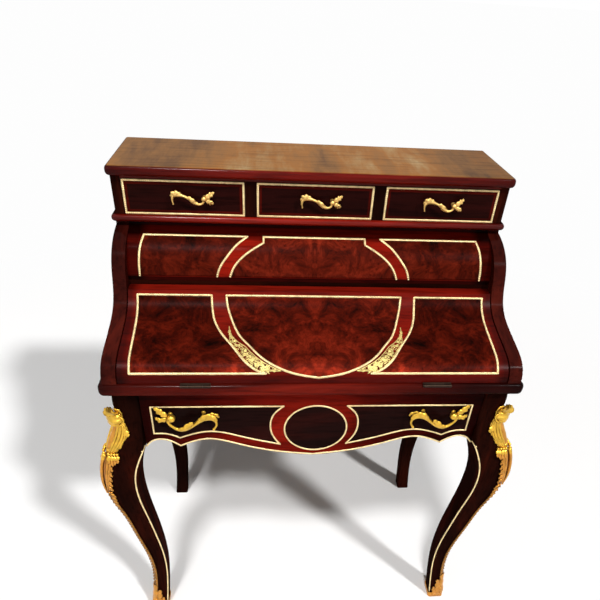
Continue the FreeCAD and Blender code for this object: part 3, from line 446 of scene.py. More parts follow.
def on_leg(across, z, lift):
    """Round the corner of the right leg: across runs to the front face, minus to the outer side."""
    outer, front = corner_at(round(z * 2))
    quarter = CORNER_RADIUS * math.pi / 4
    bend = min(max(across, -quarter), quarter)
    angle = -math.pi / 4 - bend / CORNER_RADIUS
    reach = (CORNER_RADIUS + lift) * 0.001
    x = outer - CORNER_RADIUS * 0.001 + reach * math.cos(angle)
    y = front + CORNER_RADIUS * 0.001 + reach * math.sin(angle)
    over = (across - bend) * 0.001
    return Vector((x - max(over, 0.0), y + max(-over, 0.0), z * 0.001))


mount = bmesh.new()
# The lip that curls out over the knee, and the gadrooned boss with its roll below it.
cast_leaf(mount, [(0, 687, 4, 8), (0, 693, 8, 10), (0, 696, 12, 9), (0, 697, 16, 6.5), (0, 697, 20, 3.5),
                  (0, 696, 23, 0.8)], on_leg, lobes=5, rows=20, columns=8, thick=1.3, crown=0.2, sweep=0.1)
cast_leaf(mount, [(0, 694, 4, 6), (0, 688, 8, 13), (0, 678, 9.5, 16), (0, 669, 8, 13), (0, 661, 4, 5)],
          on_leg, lobes=3, rows=18, columns=10, thick=3.0, crown=0.5, sweep=0.1, cut=0.2)
cast_bar(mount, [(-13, 687, 5, 0.8), (-9, 690, 8, 1.3), (0, 691, 10, 1.6),
                 (9, 690, 8, 1.3), (13, 687, 5, 0.8)], on_leg, steps=18)
# The darker hollow between the ribs.
gilt_so_far = len(mount.faces)
cast_leaf(mount, [(0, 668, 0.5, 6), (0, 650, 0.5, 10), (0, 635, 0.5, 11), (0, 618, 0.5, 10),
                  (0, 602, 0.5, 6)], on_leg, lobes=1, columns=10, thick=1.4, crown=0.0, sweep=0.0, cut=0.0)
for face in list(mount.faces)[gilt_so_far:]:
    face.material_index = 1
# The C-scrolls beside the hollow: each rib's reach, half width and lift, on each side of the corner.
RIBS = {-1: ((17, 2.4, 1.6), (23, 3.0, 2.2), (28, 2.4, 2.0)),
        1: ((10, 2.6, 3.6), (15.5, 3.4, 4.2), (21.5, 3.2, 3.6), (26.5, 2.4, 2.6))}
SCROLL_LEAVES = (([(15, 657, 3, 3), (23, 651, 4.5, 6), (30, 645, 5, 4.5), (35, 641, 5.5, 0.8)], 3),
                 ([(18, 632, 3, 3), (23, 626, 4, 4), (25, 619, 4, 3), (25, 614, 4, 0.8)], 2))
for side, ribs in RIBS.items():
    curl = [(3, 664, 6, 1.4), (9, 664, 8, 2.2), (15, 670, 8, 2.5), (16, 679, 8, 2.4),
            (11, 684, 8, 1.8), (8, 680, 8, 1.0)]
    cast_bar(mount, to_side(side, curl), on_leg, steps=22)
    bed = [(9, 668, 0.5, 6), (15, 655, 0.5, 11), (19, 638, 0.5, 13), (16, 618, 0.5, 11), (10, 600, 0.5, 8)]
    cast_leaf(mount, to_side(side, bed), on_leg, lobes=5, rows=24, thick=1.6, crown=0.1, sweep=0.2,
              cut=0.15)
    for reach, wide, lift in ribs:
        rib = [(reach * 0.5, 667, lift, 1.4, 1.2), (reach * 0.8, 659, lift, wide),
               (reach, 645, lift, wide), (reach * 1.02, 631, lift, wide),
               (reach * 0.86, 617, lift, wide, wide * 0.9), (reach * 0.55, 603, lift, 1.4, 1.2)]
        cast_bar(mount, to_side(side, rib), on_leg, steps=20)
    for leaf, lobes in SCROLL_LEAVES:
        cast_leaf(mount, to_side(side, leaf), on_leg, lobes=lobes, rows=12)
    # Leaf tips that hang below the collar.
    for across, up, length in ((5, 602, 17), (11, 601, 19), (17, 600, 18), (22, 600, 14)):
        tip = [(across, up, 4, 2.5), (across + 2, up - 0.3 * length, 7, 4.8),
               (across + 3, up - 0.7 * length, 9, 3.4), (across + 5, up - 0.95 * length, 11, 0.6)]
        cast_leaf(mount, to_side(side, tip), on_leg, lobes=2, rows=10)
    # The feathered drop: long ribs with jagged barbs beside them.
    for start, end in ((10.5, 5.0), (5.5, 2.6)):
        rib = [(start, 592, 5, 3.0, 2.6), (start, 570, 6, 3.0, 2.6), ((start + end) / 2, 540, 5, 2.6, 2.2),
               (end, 505, 3.5, 1.6, 1.4)]
        cast_bar(mount, to_side(side, rib), on_leg, steps=16)
    for step in range(6):
        top, reach = 588 - 14 * step, 15.5 - 1.1 * step
        barb = [(reach * 0.45, top + 2, 4.5, 2.0), (reach * 0.8, top - 3, 5.5, 4.2),
                (reach, top - 10, 4.5, 2.8), (reach + 2, top - 15, 3.5, 0.5)]
        cast_leaf(mount, to_side(side, barb), on_leg, lobes=2, rows=8, columns=4, crown=0.5, thick=3.0)
    for step in range(4):
        top, reach = 494 - 12 * step, 10.5 - 1.5 * step
        barb = [(reach * 0.3, top, 1.5, 1.6), (reach * 0.7, top - 4, 3.2, 3.4), (reach, top - 9, 3.6, 2.2),
                (reach + 1, top - 13, 3.4, 0.4)]
        cast_leaf(mount, to_side(side, barb), on_leg, lobes=2, rows=8, columns=4, crown=0.5, thick=2.4)
cast_bar(mount, [(0, 604, 6, 5, 4), (0, 585, 8, 3.6, 3.2), (0, 560, 8, 3.4, 3), (0, 535, 7, 3, 2.6),
                 (0, 503, 4, 2, 1.8)], on_leg)
# The collar of beads, larger round the outer side, and the small row that ends the drop.
for bead in range(-4, 5):
    cast_ball(mount, on_leg, bead * 5.6, 606 - 0.9 * abs(bead), 6.5 - 0.5 * abs(bead),
              4.8 if bead < -2 else 3.3)
for bead in range(-2, 3):
    cast_ball(mount, on_leg, bead * 3.8, 499, 3.6, 2.4)
# Thin beds that join the castings at the boss and the drop.
cast_leaf(mount, [(0, 700, 1, 10), (0, 684, 1, 15), (0, 668, 1, 14), (0, 658, 0.5, 8)], on_leg,
          lobes=3, columns=8, thick=2.0, crown=0.0, sweep=0.2, cut=0.15)
cast_leaf(mount, [(0, 612, 1, 17), (0, 596, 1, 17), (0, 570, 1.5, 13), (0, 540, 2, 10), (0, 496, 1, 6)],
          on_leg, lobes=7, rows=32, columns=10, thick=2.0, crown=0.0, sweep=0.2, cut=0.15)
# Below the collar the casting has a deeper gold.
DROP_TOP = 0.592
for piece in put_pair("knee_cartouche", mount, fire_gilt, "knee_mount"):
    piece.data.materials.append(amber_gilt)
    for face in piece.data.polygons:
        if face.center.z < DROP_TOP:
            face.material_index = 1

# A darker gilt for the husks down the corner.
dark_gilt = gilding("dark_gilt_bronze", (0.34, 0.15, 0.028), (0.035, 0.01, 0.003), 0.36, 0.85)
HUSKS_TOP, HUSKS_FOOT = 494.0, 70.0
husks = bmesh.new()
top = HUSKS_TOP
while top > HUSKS_FOOT:
    down = min(1.0, (HUSKS_TOP - top) / 120)
    half = 8.0 - 2.2 * down
    husk = [(half * 0.25, top, 0.6, half * 0.3), (half * 0.6, top - 3.5, 2.2, half * 0.5),
            (half * 0.95, top - 8, 4.0, half * 0.35), (half * 1.1, top - 11, 5.4 - down, 0.3)]
    for side in (-1, 1):
        cast_leaf(husks, to_side(side, husk), on_leg, lobes=1, rows=5, columns=3, thick=2.0, crown=0.5,
                  sweep=0.0)
    cast_ball(husks, on_leg, 0, top - 7, 1.6, 2.8 - down, sides=6)
    top -= 14.0 - 1.5 * down
cast_bar(husks, [(0, 496, 0, 1.0, 0.8), (0, 360, 0, 0.8, 0.7), (0, 220, 0, 0.8, 0.7), (0, 66, 0, 0.8, 0.7)],
         on_leg, sides=6, steps=60)
put_pair("corner_husks", husks, dark_gilt, "arris_mount")

# The shoe: the plain socket ends low, and a flame of leaves climbs the corner.
SHOE_RIM = 0.014
flame = bmesh.new()
for across, top, half in ((0, 92, 9), (-12, 76, 8), (12, 72, 8), (-24, 56, 7), (22, 44, 6)):
    cast_leaf(flame, [(across, min(8.0, top * 0.2), 2.5, half * 0.6), (across, top * 0.45, 3.2, half),
                      (across, top * 0.75, 3.6, half * 0.8), (across, top - 4, 4.4, half * 0.5),
                      (across, top, 6.0, 0.6)], on_leg, thick=1.6, crown=0.3)
for across in (-17, -6, 6, 15):
    cast_bar(flame, [(across, 10, 2.6, 1.2), (across + 4, 20, 3.4, 2), (across + 3, 34, 3.6, 2),
                     (across - 3, 38, 3.8, 1.6), (across - 4, 32, 3.8, 0.9)], on_leg, steps=16)
for side, leaves in (("left", mirror_shape(flame)), ("right", flame)):
    shoe = bmesh.new()
    shoe.from_mesh(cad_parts[side + "_sabot"].data)
    bmesh.ops.remove_doubles(shoe, verts=shoe.verts, dist=1e-6)
    bmesh.ops.bisect_plane(shoe, geom=shoe.verts[:] + shoe.edges[:] + shoe.faces[:],
                           plane_co=(0, 0, SHOE_RIM), plane_no=(0, 0, 1), clear_outer=True)
    bmesh.ops.bridge_loops(shoe, edges=[edge for edge in shoe.edges if edge.is_boundary])
    join(shoe, leaves)
    put(side + "_leafy_shoe", shoe, amber_gilt, "carcass", [side + "_sabot"])


# --- The frieze drawer ------------------------------------------------
# One wide drawer with a scalloped front, veneered in mahogany with ebonised fields. A milled brass
# border edges the fields, the ring and the lower line; two cast scroll handles open it.

RED_SHADES = [(0.3, 0.06, 0.003, 0.0015), (0.5, 0.14, 0.0055, 0.0025), (0.75, 0.3, 0.012, 0.0045)]
EBONISED_SHADES = [(0.3, 0.005, 0.0024, 0.002), (0.55, 0.012, 0.0034, 0.0028),
                   (0.8, 0.036, 0.005, 0.0035)]
# Darker towards both ends; right of the middle the colour drops to half, which is painted shade.
FRIEZE_TONES_AND_SHADE = [("|X|", 0.09, 0.25, 0.3), ("|X|", 0.27, 0.34, 0.35), ("X", 0.04, 0.1, 0.5)]
frieze_red = polished_timber("frieze_red_mahogany", RED_SHADES, tones_and_painted_light=FRIEZE_TONES_AND_SHADE)
give(frieze_red, "frieze_drawer_front")
ebonised = polished_timber("ebonised_veneer", EBONISED_SHADES)
box_timber = polished_timber("drawer_box_timber", PLAIN_SHADES, (0.5, 0.03, 1.0), gloss=0.5)
give(box_timber, "frieze_drawer_box")
milled_brass = gilding("milled_brass", (1.0, 0.78, 0.4), (0.5, 0.28, 0.08), 0.34, 0.5, 0.0015)


def box_in_mm(node):
    """The lowest and the highest corner of a node at rest, in mm."""
    return [Vector(corner) * 1000 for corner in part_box(node)]


LEG_TOP = box_in_mm("right_front_leg")[1].z
(_, FRIEZE_FACE, _), (FRIEZE_HALF, _, _) = box_in_mm("frieze_drawer_front")
BORDER_WIDTH, BEAD_PITCH = 5.0, 4.0


def lengths_along(points):
    """How far along a run each of its points lies."""
    lengths = [0.0]
    for first, second in zip(points, points[1:]):
        lengths.append(lengths[-1] + (second - first).length)
    return lengths


def part_way(points, lengths, share):
    """The point at a share of a run's length, and the number of the stretch that it lies on."""
    at = share * lengths[-1]
    index = 0
    while index < len(points) - 2 and at > lengths[index + 1]:
        index += 1
    part = (at - lengths[index]) / max(lengths[index + 1] - lengths[index], 1e-9)
    return points[index] + (points[index + 1] - points[index]) * part, index


def smooth_run(points, pitch=2.0):
    """Points at an even pitch on a natural cubic curve through the given ones."""
    points = [Vector(p) for p in points]
    knots = lengths_along(points)
    count = len(points)
    bends = [Vector([0.0] * len(points[0])) for _ in points]
    if count > 2:
        sharp, rest = [0.0], [bends[0]]
        for i in range(1, count - 1):
            h0, h1 = knots[i] - knots[i - 1], knots[i + 1] - knots[i]
            pull = 6 * ((points[i + 1] - points[i]) / h1 - (points[i] - points[i - 1]) / h0)
            share = 2 * (h0 + h1) - h0 * sharp[-1]
            sharp.append(h1 / share)
            rest.append((pull - h0 * rest[-1]) / share)
        for i in range(count - 2, 0, -1):
            bends[i] = rest[i] - sharp[i] * bends[i + 1]
    run = []
    steps = max(2, round(knots[-1] / pitch))
    for step in range(steps + 1):
        at, index = knots[-1] * step / steps, part_way(points, knots, step / steps)[1]
        h = knots[index + 1] - knots[index]
        a, b = (knots[index + 1] - at) / h, (at - knots[index]) / h
        run.append(a * points[index] + b * points[index + 1]
                   + ((a ** 3 - a) * bends[index] + (b ** 3 - b) * bends[index + 1]) * h * h / 6)
    return run


def milled_border(shape, run, place, width=BORDER_WIDTH, high=1.4):
    """A half-round strip with a row of beads. The run is a list of across, up points in mm."""
    points = [Vector(p) for p in run]
    path = [place(x, y, 0.0) for x, y in points]
    lengths = lengths_along(path)
    total = lengths[-1] * 1000
    spine = [(x, y, 0.0, width / 2, high * 0.7) for x, y in points]
    cast_bar(shape, spine, place, sides=6, steps=max(1, min(len(run) - 1, round(total / 6))))
    row = bmesh.new()
    beads = max(1, round(total / BEAD_PITCH))
    for bead in range(beads + 1):
        (x, y), index = part_way(points, lengths, bead / beads)
        centre = place(x, y, 0.35)
        out = (place(x, y, 1.35) - centre).normalized()
        ahead = (path[index + 1] - path[index]).normalized()
        across = ahead.cross(out).normalized()
        turn = Matrix((across * width * 0.46, ahead * BEAD_PITCH * 0.5, out * high)).transposed().to_4x4()
        turn.translation = centre * 1000
        bmesh.ops.create_uvsphere(row, u_segments=6, v_segments=4, radius=1.0,
                                  matrix=Matrix.Scale(0.001, 4) @ turn)
    join(shape, row)


def brass_borders(name, runs, place, body, stands_for, width=BORDER_WIDTH):
    """All the borders of one front as a single piece."""
    shape = bmesh.new()
    for run in runs:
        milled_border(shape, run, place, width)
    put(name, shape, milled_brass, body, [stands_for])


def flat_front(face):
    """Places across, height and lift, in mm, on a flat front."""
    return lambda x, z, lift: Vector((x, face - lift, z)) * 0.001


on_frieze = flat_front(FRIEZE_FACE)


def drops(points, raised=0.0):
    """Points given as shares of the drawer's half length and drops below the desk board."""
    return [(share * FRIEZE_HALF, LEG_TOP - drop + raised) for share, drop in points]


def both_sides(runs):
    """Each run on the left of the middle and on the right of it."""
    return [to_side(side, run) for side in (-1, 1) for run in runs]


VENEER_LIFT, VENEER_DEPTH = 0.2, 0.4


def veneer_level(vert):
    """A veneer's upper side stands proud of its ground, its underside lies in it."""
    return VENEER_LIFT if vert.co.z > -0.5 else -VENEER_DEPTH


def veneer_leaf(whole, left, right, foot, top, place, columns, rows):
    """A leaf of veneer between four edges: left and right run upwards, foot and top to the right."""
    edges = [[Vector(p) for p in run] for run in (left, right, foot, top)]
    lengths = [lengths_along(run) for run in edges]
    shape = bmesh.new()
    sheet = bmesh.ops.create_grid(shape, x_segments=columns, y_segments=rows, size=1.0)["verts"]
    for vert in with_underside(shape, sheet):
        u, v = (vert.co.x + 1) / 2, (vert.co.y + 1) / 2
        at_left, at_right, at_foot, at_top = [
            part_way(*edge)[0] for edge in zip(edges, lengths, (v, v, u, u))]
        low, high = edges[2][0].lerp(edges[2][-1], u), edges[3][0].lerp(edges[3][-1], u)
        x, y = (1 - v) * (at_foot - low) + v * (at_top - high) + at_left.lerp(at_right, u)
        vert.co = place(x, y, veneer_level(vert))
    join(whole, shape)


FRIEZE_BORDER, RIM_INSET = 4.0, 1.6
FIELD_START, FIELD_END, FIELD_TOP, FIELD_FOOT = 0.188, 1 - 18.5 / FRIEZE_HALF, 44.5, 114.5
field_inner = smooth_run(drops([(FIELD_START, FIELD_TOP), (0.2445, 66.0), (0.2635, 93.5), (0.2475, 124.0),
                                (0.204, 148.5)]))
field_belly = smooth_run(drops([(0.204, 148.5), (0.422, 127.0), (0.62, 110.0), (0.799, 126.7)]))
field_scallop = smooth_run(drops([(0.799, 126.7), (0.8675, 116.0), (FIELD_END, FIELD_FOOT)]))
field_right = drops([(FIELD_END, FIELD_FOOT), (FIELD_END, FIELD_TOP)])
field_top = drops([(FIELD_START, FIELD_TOP), (FIELD_END, FIELD_TOP)])
rim_belly = smooth_run(drops([(0.0, 180.5), (0.233, 169.5), (0.466, 146.5), (0.635, 132.0), (0.8, 150.5)],
                             RIM_INSET))
rim_arch = smooth_run(drops([(0.8, 150.5), (0.859, 136.5), (0.917, 131.5), (0.9665, 137.0), (1.0, 150.0)],
                            RIM_INSET))
RING_X, RING_Z, RING_HALF_WIDE, RING_HALF_HIGH, RING_SIDES = 3.0, LEG_TOP - 105.0, 64.5, 61.0, 72
ring = [(RING_X + RING_HALF_WIDE * math.cos(math.tau * i / RING_SIDES),
         RING_Z + RING_HALF_HIGH * math.sin(math.tau * i / RING_SIDES)) for i in range(RING_SIDES + 1)]
runs = both_sides([field_inner, field_belly, field_scallop, field_right, field_top[::-1], rim_belly,
                   rim_arch])
brass_borders("frieze_brass_borders", runs + [ring], on_frieze, "frieze_drawer", "frieze_stringing",
              FRIEZE_BORDER)

fields = bmesh.new()
veneer_leaf(fields, field_inner[::-1], field_right, field_belly + field_scallop[1:], field_top, on_frieze,
            60, 16)
join(fields, mirror_shape(fields))
disc = bmesh.new()
sheet = bmesh.ops.create_circle(disc, cap_ends=True, segments=RING_SIDES, radius=1.0)["verts"]
for vert in with_underside(disc, sheet):
    vert.co = on_frieze(RING_X + vert.co.x * RING_HALF_WIDE, RING_Z + vert.co.y * RING_HALF_HIGH,
                        veneer_level(vert))
join(fields, disc)
put("frieze_veneer_fields", fields, ebonised, "frieze_drawer", smooth=False)

# The leg's border runs up its inner edge and turns in to meet the drawer's: insets at heights.
LEG_BORDER, LEG_BORDER_TOP, DRAWER_LINE_DEPTH = 3.6, 604.0, 202.0
INSETS = [(0.4, LEG_BORDER_TOP), (3.0, 596), (6.0, 582), (7.4, 560), (6.0, 535), (4.4, 510), (3.2, 480),
          (2.6, 440), (2.4, 400), (2.2, 300), (2.2, 200), (2.2, 100), (2.2, 20)]


def on_leg_edge(inset, z, lift):
    """On the front face of the right leg, inset from its inner edge."""
    front = corner_at(round(z * 2))[1]
    inner = right_leg.ray_cast(Vector((0.15, front + 0.008, z * 0.001)), Vector((1, 0, 0)))[1].x
    x = inner + inset * 0.001
    y = right_leg.ray_cast(Vector((x, -0.5, z * 0.001)), Vector((0, 1, 0)))[1].y
    return Vector((x, y - lift * 0.001, z * 0.001))


def on_leg_side(depth, z, lift):
    """On the inner side of the right leg, at a depth in front of the desk's middle."""
    hit = right_leg.ray_cast(Vector((0.15, -depth * 0.001, z * 0.001)), Vector((1, 0, 0)))
    return Vector((hit[1].x - lift * 0.001, hit[1].y, hit[1].z))


leg_line = bmesh.new()
milled_border(leg_line, smooth_run(INSETS, 3.0), on_leg_edge, LEG_BORDER)
corner_depth = -corner_at(round(LEG_BORDER_TOP * 2))[1] * 1000 - 1.0
turn_in = [(DRAWER_LINE_DEPTH, LEG_BORDER_TOP - 3.5),
           ((DRAWER_LINE_DEPTH + corner_depth) / 2, LEG_BORDER_TOP - 0.5),
           (corner_depth, LEG_BORDER_TOP + 0.5)]
milled_border(leg_line, smooth_run(turn_in), on_leg_side, LEG_BORDER)
put_pair("leg_milled_border", leg_line, milled_brass, "leg_string")


def scroll_handle(shape, place, stem, leaves, knob, tip, posts):
    """A cast scroll in across, up and lift: a leafy knob at one end, a curled crest at the other."""
    cast_bar(shape, stem, place, sides=10, steps=len(stem) * 5)
    for line, lobes in leaves:
        cast_leaf(shape, line, place, lobes=lobes, thick=1.8, crown=0.4)
    cast_ball(shape, place, *knob, sides=14)
    cast_ball(shape, place, *tip)
    for x, y in posts:
        cast_bar(shape, [(x, y, 0, 4.6), (x, y, 1.5, 4.2), (x, y, 4, 2.8), (x, y, 9, 2.6),
                         (x, y, 13, 3.0)], place, sides=12, steps=10)


FRIEZE_SCROLL = {
    "stem": [(-31, 11, 13, 5.5, 4.5), (-34, 2, 14, 3.6, 3.4), (-30, -7, 14, 2.6), (-20, -16, 14, 3.2, 3.0),
             (-9, -19, 14, 4.2, 3.6), (4, -14, 14, 4.4, 3.6), (17, -5, 14, 3.4, 3.2), (27, 4, 14, 4.4, 3.8),
             (38, 10, 14, 4.8, 4.2), (50, 10, 14, 4.4, 3.8), (58, 3, 14, 3.0), (59, -8, 14, 2.2),
             (54, -18, 14, 2.0)],
    "leaves": [([(-34, 13, 12, 5), (-44, 20, 11, 8), (-52, 27, 9, 6), (-60, 33, 7, 1)], 3),
               ([(-36, 8, 11, 4), (-46, 3, 10, 7), (-54, 3, 8, 5), (-60, 6, 6, 1)], 3),
               ([(-18, -17, 16, 3), (-6, -14, 18, 6), (6, -4, 18, 6), (14, 4, 19, 1)], 3),
               ([(24, 2, 15, 3), (32, 12, 17, 6.5), (43, 17, 17, 7.5), (55, 13, 16, 5), (61, 4, 15, 1)], 5),
               ([(38, 10, 13, 4), (49, 17, 13, 6), (60, 15, 11, 4), (64, 7, 9, 1)], 4)],
    "knob": (-27, 12, 15, 8.0), "tip": (53.5, -18.5, 14, 2.8), "posts": [(-31, 11), (34, 14)]}
HANDLE_X, HANDLE_Z = 0.748 * FRIEZE_HALF, LEG_TOP - 73.0
for side, turn in (("left", 1), ("right", -1)):
    handle = bmesh.new()
    scroll_handle(handle, lambda u, w, lift: on_frieze(turn * (u - HANDLE_X), HANDLE_Z + w, lift),
                  **FRIEZE_SCROLL)
    put(side + "_frieze_scroll_handle", handle, fire_gilt, "frieze_drawer",
        [side + "_frieze_handle"])


# --- The desk board and its hinges ------------------------------------
# A solid mahogany board with a rounded edge, screwed down on the stand. Two brass butt hinges are
# let into its front edge, with steel screws, and carry the flap.

# Right of the middle the board drops to a sixth of its colour, painted shade; both ends are darker again.
board_timber = polished_timber("desk_board_mahogany", MAHOGANY_SHADES, (0.08, 1.0, 1.0), 6.0, shine=0.09,
                               tones_and_painted_light=[("X", 0.08, 0.3, 0.16), ("|X|", 0.36, 0.4, 0.5)])
give(board_timber, "desk_board")
hinge_brass = gilding("dark_hinge_brass", (0.035, 0.02, 0.013), (0.01, 0.006, 0.004), 0.4)
give(hinge_brass, "hinge_board_leaves", "hinge_flap_leaves", "hinge_pins")
screw_steel = gilding("blued_screw_steel", (0.14, 0.13, 0.13), (0.03, 0.03, 0.03), 0.35)
give(screw_steel, "hinge_board_screws", "hinge_flap_screws")


# --- The flap ---------------------------------------------------------
# Shaped boards glued up to a serpentine curve and faced with bookmatched burr veneer; a brass
# border divides it in three fields, with pierced brass vines between, and hide lines the inside.

def burr_veneer(name, dark, middle, bright, tones_and_painted_light=()):
    """Bookmatched burr: clouded figure and small eyes, mirrored about the middle."""
    finish, tree, shader, place = new_finish(name)
    split = add_node(tree, "SeparateXYZ", wires={0: place}).outputs
    fold = add_node(tree, "Math", wires={0: split["X"]}, operation="ABSOLUTE").outputs[0]
    book = add_node(tree, "CombineXYZ", wires={"X": fold, "Y": split["Y"], "Z": split["Z"]}).outputs[0]
    cloud = noise(tree, book, 21.0, 7.0, 0.74, 0.6)
    swirl = add_node(tree, "VectorMath", {1: (0.03, 0.03, 0.03)}, {0: cloud["Color"], 2: book},
                     operation="MULTIPLY_ADD").outputs["Vector"]
    eyes = add_node(tree, "TexVoronoi", {"Scale": 95.0}, {"Vector": swirl}).outputs["Distance"]
    eye_rings = tone_ramp(tree, [(0.08, 0.25, 0.22, 0.2), (0.32, 1.0, 1.0, 1.0)], eyes)
    figure = tone_ramp(tree, [(0.34, *dark), (0.5, *middle), (0.72, *bright)], cloud["Fac"])
    colour = stained(tree, figure, eye_rings, 0.6)
    for tone in tones_and_painted_light:
        colour = deepen(tree, colour, place, *tone)
    tree.links.new(colour, shader["Base Color"])
    surface(tree, shader, cloud["Fac"], 0.3, 0.12, eyes, 0.06, 0.0004)
    polish(shader, 0.02, 0.3)
    return finish


# Side fields darker, figure darker towards the top; near the foot nearly three times as bright, a painted
# highlight.
flap_burr = burr_veneer("flap_burr", (0.008, 0.0018, 0.0012), (0.075, 0.006, 0.0025), (0.26, 0.02, 0.007),
                        tones_and_painted_light=[("|X|", 0.17, 0.22, 0.55), ("Z", 0.835, 0.87, 0.7),
                               ("Z", 0.815, 0.796, 2.9)])
curved_red = polished_timber("curved_red_mahogany", RED_SHADES, shine=0.1, wax=0.3,
                             tones_and_painted_light=[("|X|", 0.345, 0.365, 0.3), ("Z", 0.796, 0.786, 0.45)])
give(curved_red, "flap")

WRITING_TOP = box_in_mm("desk_board")[1].z
BULGE = box_in_mm("upper_panel")[1].z - WRITING_TOP


def laid_on(node):
    """Places across, height and lift on a curved front."""
    def face(x, height):
        hit = node.ray_cast(Vector((x * 0.001, -0.6, height * 0.001)), Vector((0, 1, 0)))
        return hit[1] if hit[0] else None

    def place(x, z, lift):
        here, above, below = face(x, z), face(x, z + 0.4), face(x, z - 0.4)
        if here is None:
            raise ValueError(f"nothing to lay on at {x:.1f}, {z:.1f}")
        slope = (above or here) - (below or here)
        return here + Vector((0, -slope.z, slope.y)).normalized() * lift * 0.001
    return place


on_flap = laid_on(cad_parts["flap"])


def shares(points):
    """Points given as distances from the middle and shares of the front's height."""
    return [(x, WRITING_TOP + share * BULGE) for x, share in points]


def evened(runs, place, pitch=3.0):
    """Runs filled so that their points are even along the surface."""
    filled = []
    for run in runs:
        fine = []
        for first, second in zip(run, run[1:]):
            length = (place(*second, 0.0) - place(*first, 0.0)).length * 1000
            pieces = max(1, math.ceil(length / pitch))
            fine += [Vector(first).lerp(Vector(second), i / pieces) for i in range(pieces)]
        filled.append(fine + [run[-1]])
    return filled


FLAP_TOP, FLAP_FOOT, FLAP_LOW = 0.459, 0.102, 0.065
SIDE_TOP, SIDE_FOOT, SIDE_END_TOP, SIDE_END_FOOT, CENTRE_TOP = 208, 100, 354, 350, 179
side_arc = smooth_run(shares([(SIDE_TOP, FLAP_TOP), (206.5, 0.365), (203, 0.317), (186, 0.264),
                              (152, 0.209), (114, 0.12), (SIDE_FOOT, FLAP_FOOT)]))
centre_arc = smooth_run(shares([(CENTRE_TOP, FLAP_TOP), (176, 0.375), (162, 0.286), (133, 0.233),
                                (88, 0.163), (48, 0.103), (0, FLAP_LOW)]))
side_top = shares([(SIDE_TOP, FLAP_TOP), (SIDE_END_TOP, FLAP_TOP)])
side_end = shares([(SIDE_END_FOOT, FLAP_FOOT), (SIDE_END_TOP, FLAP_TOP)])
side_foot = shares([(SIDE_FOOT, FLAP_FOOT), (SIDE_END_FOOT, FLAP_FOOT)])
centre_top = shares([(-CENTRE_TOP, FLAP_TOP), (CENTRE_TOP, FLAP_TOP)])
runs = both_sides([side_arc, centre_arc, side_top, side_end[::-1], side_foot[::-1]]) + [centre_top]
brass_borders("flap_brass_borders", evened(runs, on_flap), on_flap, "flap", "flap_stringing")

flap_fields = bmesh.new()
veneer_leaf(flap_fields, side_arc[::-1], side_end, side_foot, side_top, on_flap, 36, 30)
join(flap_fields, mirror_shape(flap_fields))
centre_right = centre_arc[::-1]
veneer_leaf(flap_fields, to_side(-1, centre_right), centre_right, centre_arc[-1:] * 2, centre_top, on_flap,
            60, 40)
put("flap_veneer_fields", flap_fields, flap_burr, "flap")


def arc_at(arc, z):
    """How far across an arc stands at a height."""
    for first, second in zip(arc, arc[1:]):
        if second[1] <= z <= first[1]:
            part = (z - second[1]) / max(first[1] - second[1], 1e-9)
            return second[0] + (first[0] - second[0]) * part
    return arc[0][0] if z > arc[0][1] else arc[-1][0]


VINE_FOOT, VINE_SHOULDER, VINE_TOP, VINE_TIP = 0.122, 0.23, 0.284, 172.0
VINE_INNER_GAP, VINE_OUTER_GAP, VINE_SHOULDER_X = 9.57, 2.9, 168.0
VINE_TURNS, VINE_ROWS = 13, 16


def in_crescent(along, across):
    """A point of the crescent: along from the foot to the tip, across from -1 inside to 1 outside."""
    share = VINE_FOOT + (VINE_TOP - VINE_FOOT) * along
    z = WRITING_TOP + share * BULGE
    inner = arc_at(centre_arc, z) + VINE_INNER_GAP
    outer = arc_at(side_arc, z) - VINE_OUTER_GAP
    if share > VINE_SHOULDER:
        close = (share - VINE_SHOULDER) / (VINE_TOP - VINE_SHOULDER)
        inner += (VINE_TIP - 0.5 - inner) * close
        outer = min(outer, VINE_SHOULDER_X) * (1 - close) + VINE_TIP * close
    return (inner + outer) / 2 + across * (outer - inner) / 2, z


def round_point(x, z):
    """Places across, up and lift about a point of the flap, evenly however steep it is there."""
    steep = (on_flap(x, z + 0.5, 0) - on_flap(x, z - 0.5, 0)).length * 1000
    return lambda u, w, lift: on_flap(x + u, z + w / steep, lift)


def vine_bar(line, place, half, steps, sides=6):
    """A thin round wire of the vine work. The line holds across and up."""
    cast_bar(vines, [(*point, *half) for point in line], place, sides=sides, steps=steps)


vines = bmesh.new()
for edge in (-1, 1):
    vine_bar([in_crescent(i / 24, edge) for i in range(25)], on_flap, (0.4, 0.9, 0.9), 36)
vine_bar([in_crescent(0, c) for c in (-1, -0.3, 0.3, 1)], on_flap, (0.4, 0.9, 0.9), 8)
turns = [(0.03 + 0.92 * turn / (VINE_TURNS - 1), 1 if turn % 2 else -1) for turn in range(VINE_TURNS)]
vine_bar([in_crescent(along, 0.42 * way) for along, way in turns], on_flap, (0.8, 0.9, 0.9), 66)
for along, way in turns[:-1]:
    by_curl = round_point(*in_crescent(along + 0.03, -0.36 * way))
    wide = (in_crescent(along, 1)[0] - in_crescent(along, -1)[0]) * 0.7
    size = min(max(wide * 0.2, 1.4), 5.4)
    curl = []
    for step in range(15):
        angle, reach = math.radians(20 + 38 * step) * -way, size * (1.0 - 0.055 * step)
        curl.append((reach * math.cos(angle) * way, reach * math.sin(angle)))
    vine_bar(curl, by_curl, (0.8, 1.05, 0.95), 40)
    cast_ball(vines, by_curl, 0, 0, 0.9, 1.1, sides=6)
    for lean in (size, -size):
        leaf = [(size * 0.9, lean * 0.5, 0.6, 0.8), (size * 1.5, lean * 0.95, 1.0, 1.7),
                (size * 1.9, lean * 1.3, 0.8, 1.2), (size * 2.2, lean * 1.5, 0.5, 0.3)]
        cast_leaf(vines, to_side(way, leaf), by_curl, lobes=2, rows=5, columns=2, thick=1.0)
